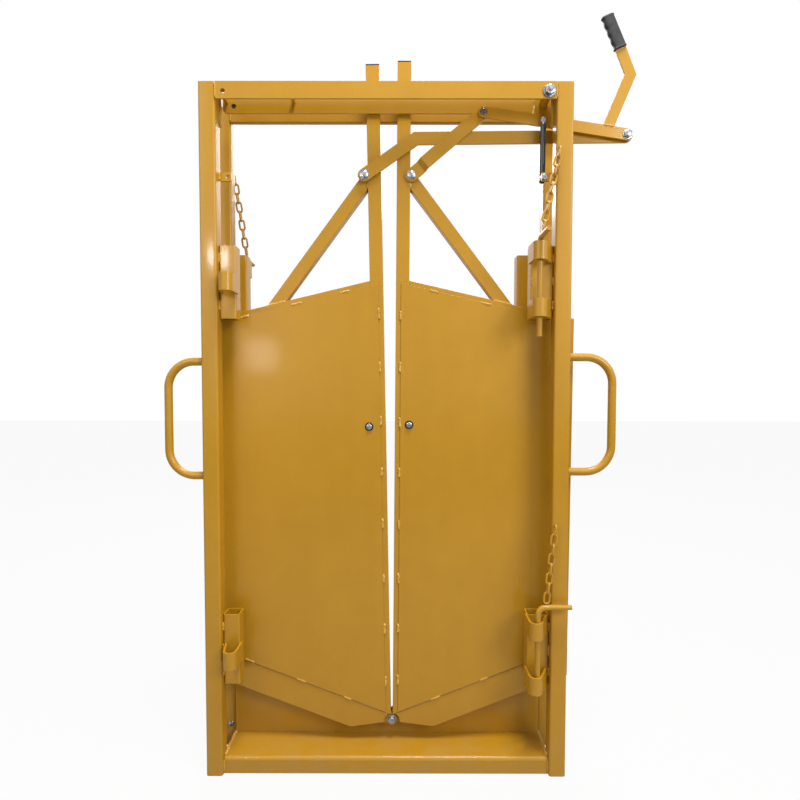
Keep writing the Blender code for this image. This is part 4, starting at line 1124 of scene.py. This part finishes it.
@dataclass
class PinAndChain:
    """A drop pin and the keeper chain that ties it to the post."""

    row: str
    level: str
    links: int
    shop: Paintshop
    pin: float = 0.0127
    bend: float = 0.018
    wire: float = 0.0048
    link: float = 0.0300
    link_width: float = 0.0170
    overlap: float = 0.0014
    seat: float = 0.0003
    post_inset: float = 0.0060
    lift: float = 0.150
    short_of_foot: float = 0.014

    @property
    def out(self) -> int:
        """Which way is outward along x: the front row's pins are on the right."""
        return 1 if self.row == "front" else -1

    def build(self) -> None:
        """Builds the pin and the chain."""
        self.build_chain(self.build_pin())

    def build_pin(self) -> Array:
        """The pin: a shaft, a bend and an arm.

        Returns:
            Where the chain's first link sits on the bend.
        """
        node = f"drop_pin_{self.row}_{self.level}"
        low, high = box_of(node)
        half = self.pin / 2
        out = self.out
        elbow = high[2] - half
        if self.level == "upper":
            x = (low[0] + high[0]) / 2
            y = high[1] - half if out > 0 else low[1] + half
            tip = np.array([x, low[1] if out > 0 else high[1], elbow])
            arm = np.array([0.0, -out, 0.0])
        else:
            y = (low[1] + high[1]) / 2
            x = low[0] + half if out > 0 else high[0] - half
            tip = np.array([high[0] if out > 0 else low[0], y, elbow])
            arm = np.array([float(out), 0.0, 0.0])
        foot = low[2] + (self.short_of_foot if self.level == "lower" else 0.0)
        route = rounded_route([(x, y, foot), (x, y, elbow), tip], self.bend, 12)
        shaft = np.linspace(0, 1, 24)[:, None]
        route = np.vstack([route[0] + shaft[:-1] * (route[1] - route[0]), route[1:]])
        radius = np.full(len(route), half)
        radius[0] = radius[-1] = half * 0.82
        route = np.insert(route, 1, route[0] + [0, 0, 0.0015], axis=0)
        radius = np.insert(radius, 1, half)
        normal = np.cross(arm, [0.0, 0.0, 1.0])
        bar = sweep(route, normal, radius, 20)
        piece(f"{node}_bar", [bar], self.shop.worn, body_of(node), [node])
        return np.array([x, y, elbow + half + self.seat]) + arm * self.bend

    def build_chain(self, start: Array) -> None:
        """The chain: oval links in a line, each a quarter turn from the last.

        A link's centre line is two half circles joined by straight sides. The last
        link's side lies against the post.
        """
        node = f"chain_{self.row}_{self.level}"
        pitch = self.link - 2 * self.wire + self.overlap
        length = pitch * (self.links - 1) + self.link
        out = self.out
        post_low, post_high = box_of(f"post_{self.row}_{'right' if out > 0 else 'left'}")
        face = post_low[1] if out > 0 else post_high[1]
        x = (post_low[0] if out > 0 else post_high[0]) + out * self.post_inset
        ahead = abs(start[1] - face)
        slope = (ahead - self.link_width / 2) / length
        side = (self.link_width - self.wire) / 2
        round_part = side * np.cos(np.arcsin(slope))
        off = self.wire / 2 + round_part - self.link_width / 2 * slope + self.seat
        y = face - out * off
        run = np.hypot(x - start[0], y - start[1])
        end = np.array([x, y, start[2] + np.sqrt(length**2 - run**2)])
        heading = unit(end - start)
        flat = unit(np.cross(heading, [0.0, 1.0, 0.0]))
        upright = np.cross(heading, flat)
        half = (self.link - self.link_width) / 2
        bow = np.linspace(-np.pi / 2, np.pi / 2, 9)
        near = np.stack([half + side * np.cos(bow), side * np.sin(bow)], axis=-1)
        far = -near
        sides = np.array([[0.25], [0.75]])
        top = near[-1] + sides * (far[0] - near[-1])
        ring = np.vstack([near, top, far, far[-1] + sides * (near[0] - far[-1])])
        shells = []
        for i in range(self.links):
            across, normal = (flat, upright) if (self.links - 1 - i) % 2 else (upright, flat)
            middle = start + heading * (self.link / 2 + pitch * i)
            path = middle + ring[:, :1] * heading + ring[:, 1:] * across
            shells.append(sweep(path, normal, self.wire / 2, 10, closed=True))
        chain = piece(f"{node}_links", shells, self.shop.worn, "frame", [node])
        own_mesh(chain)


# Light and camera


@dataclass
class Studio:
    """Pale floor, white surround, soft lamps, and the camera at the photograph's angle."""

    camera_place: Triple = (0.03350, -1.27492, 0.90634)
    pitch: float = 0.0408
    yaw: float = 0.0011
    roll: float = 0.0012
    focal_pixels: float = 556.61
    image_width: float = 800.0
    axis_below_centre: float = 10.79
    sensor: float = 36.0
    ambient: float = 0.22
    floor_glow: float = 0.94
    floor_reach: float = 14.0

    def build(self) -> None:
        """Builds the studio."""
        bpy.context.scene.view_settings.view_transform = "Standard"
        self.world()
        self.floor()
        self.lamp("ceiling", (0.4, -0.80, 3.9), (0.0, 0.0, 0.6), 1.1, 122)
        self.lamp("key", (1.8, -1.9, 2.0), (0.0, 0.0, 0.9), 1.0, 36)
        self.lamp("fill", (-2.0, -2.3, 2.4), (0.0, 0.0, 0.7), 1.4, 13)
        self.lamp("door_flash", (-0.634, -1.275, 1.065), (-0.3, 0.07, 0.986), 0.14, 0.8)
        self.lamp("post_flash", (-0.792, -1.275, 1.50), (-0.379, 0.0, 1.203), 0.07, 1.7)
        self.lamp("back", (-0.4, 2.4, 2.8), (0.0, 0.1, 0.8), 1.6, 60)
        self.camera()

    def world(self) -> None:
        """White to camera, glossy and transmission rays, and a plain level of light otherwise."""
        world = bpy.data.worlds.new("surround")
        bpy.context.scene.world = world
        world.use_nodes = True
        tree = world.node_tree
        back = tree.nodes["Background"]
        back.inputs["Color"].default_value = WHITE
        path = tree.nodes.new("ShaderNodeLightPath")
        level = tree.nodes.new("ShaderNodeMapRange")
        level.inputs["To Min"].default_value = self.ambient
        level.inputs["To Max"].default_value = 1.0
        seen = path.outputs["Is Camera Ray"]
        for kind in ("Is Glossy Ray", "Is Transmission Ray"):
            either = tree.nodes.new("ShaderNodeMath")
            either.operation = "MAXIMUM"
            tree.links.new(seen, either.inputs[0])
            tree.links.new(path.outputs[kind], either.inputs[1])
            seen = either.outputs[0]
        tree.links.new(seen, level.inputs["Value"])
        tree.links.new(level.outputs["Result"], back.inputs["Strength"])

    def floor(self) -> None:
        """A plane under the gate: white to the camera, with the gate's shadow on it."""
        mesh = bpy.data.meshes.new("studio_floor")
        far = self.floor_reach
        corners = [(-far, -far, 0), (far, -far, 0), (far, far, 0), (-far, far, 0)]
        mesh.from_pydata(corners, [], [(0, 1, 2, 3)])
        graph = Graph("pale_floor")
        graph.finish(base_color=(0.50, 0.49, 0.48, 1), roughness=0.7, specular_ior_level=0.1)
        glow = graph.node("ShaderNodeEmission", {}, {"Color": WHITE, "Strength": 1.0})
        seen = graph.node("ShaderNodeLightPath", {}, {}, "Is Camera Ray") * self.floor_glow
        plain = Term(graph, graph.shader.outputs[0])
        mixed = graph.node("ShaderNodeMixShader", {}, {0: seen, 1: plain, 2: glow})
        output = next(n for n in graph.tree.nodes if n.type == "OUTPUT_MATERIAL")
        graph.tree.links.new(mixed.socket, output.inputs["Surface"])
        mesh.materials.append(graph.material)
        floor = linked("studio_floor", mesh)

    def lamp(
        self, name: str, place: Floats, aim: Floats, size: float, power: float
    ) -> None:
        """A square soft lamp aimed at a point."""
        light = bpy.data.lights.new(name, "AREA")
        light.size = size
        light.energy = power
        look = (Vector(aim) - Vector(place)).to_track_quat("-Z", "Y")
        linked(name, light).matrix_world = Matrix.Translation(place) @ look.to_matrix().to_4x4()

    def camera(self) -> None:
        """The camera, from the fit of the frame's corners to the photograph."""
        data = bpy.data.cameras.new("photograph")
        data.sensor_width = self.sensor
        data.lens = self.focal_pixels / self.image_width * self.sensor
        data.shift_y = self.axis_below_centre / self.image_width
        camera = linked("photograph", data)
        camera.matrix_world = (
            Matrix.Translation(self.camera_place)
            @ Matrix.Rotation(self.yaw, 4, "Z")
            @ Matrix.Rotation(np.pi / 2 - self.pitch, 4, "X")
            @ Matrix.Rotation(self.roll, 4, "Z")
        )
        bpy.context.scene.camera = camera


def main() -> None:
    """Builds the gate's sub-assemblies in order, then the studio."""
    logging.basicConfig(level=logging.INFO, format="%(message)s")
    shop = Paintshop()
    welder = Welder()
    Frame(shop, welder).build()
    Door("left", 1.04, shop, welder).build()
    Door("right", 0.40, shop, welder).build()
    Lever(shop, welder).build()
    Grip(shop).build()
    for row in ("front", "rear"):
        PinAndChain(row, "upper", 9, shop).build()
        PinAndChain(row, "lower", 8, shop).build()
    Studio().build()


if __name__ == "__main__":
    main()
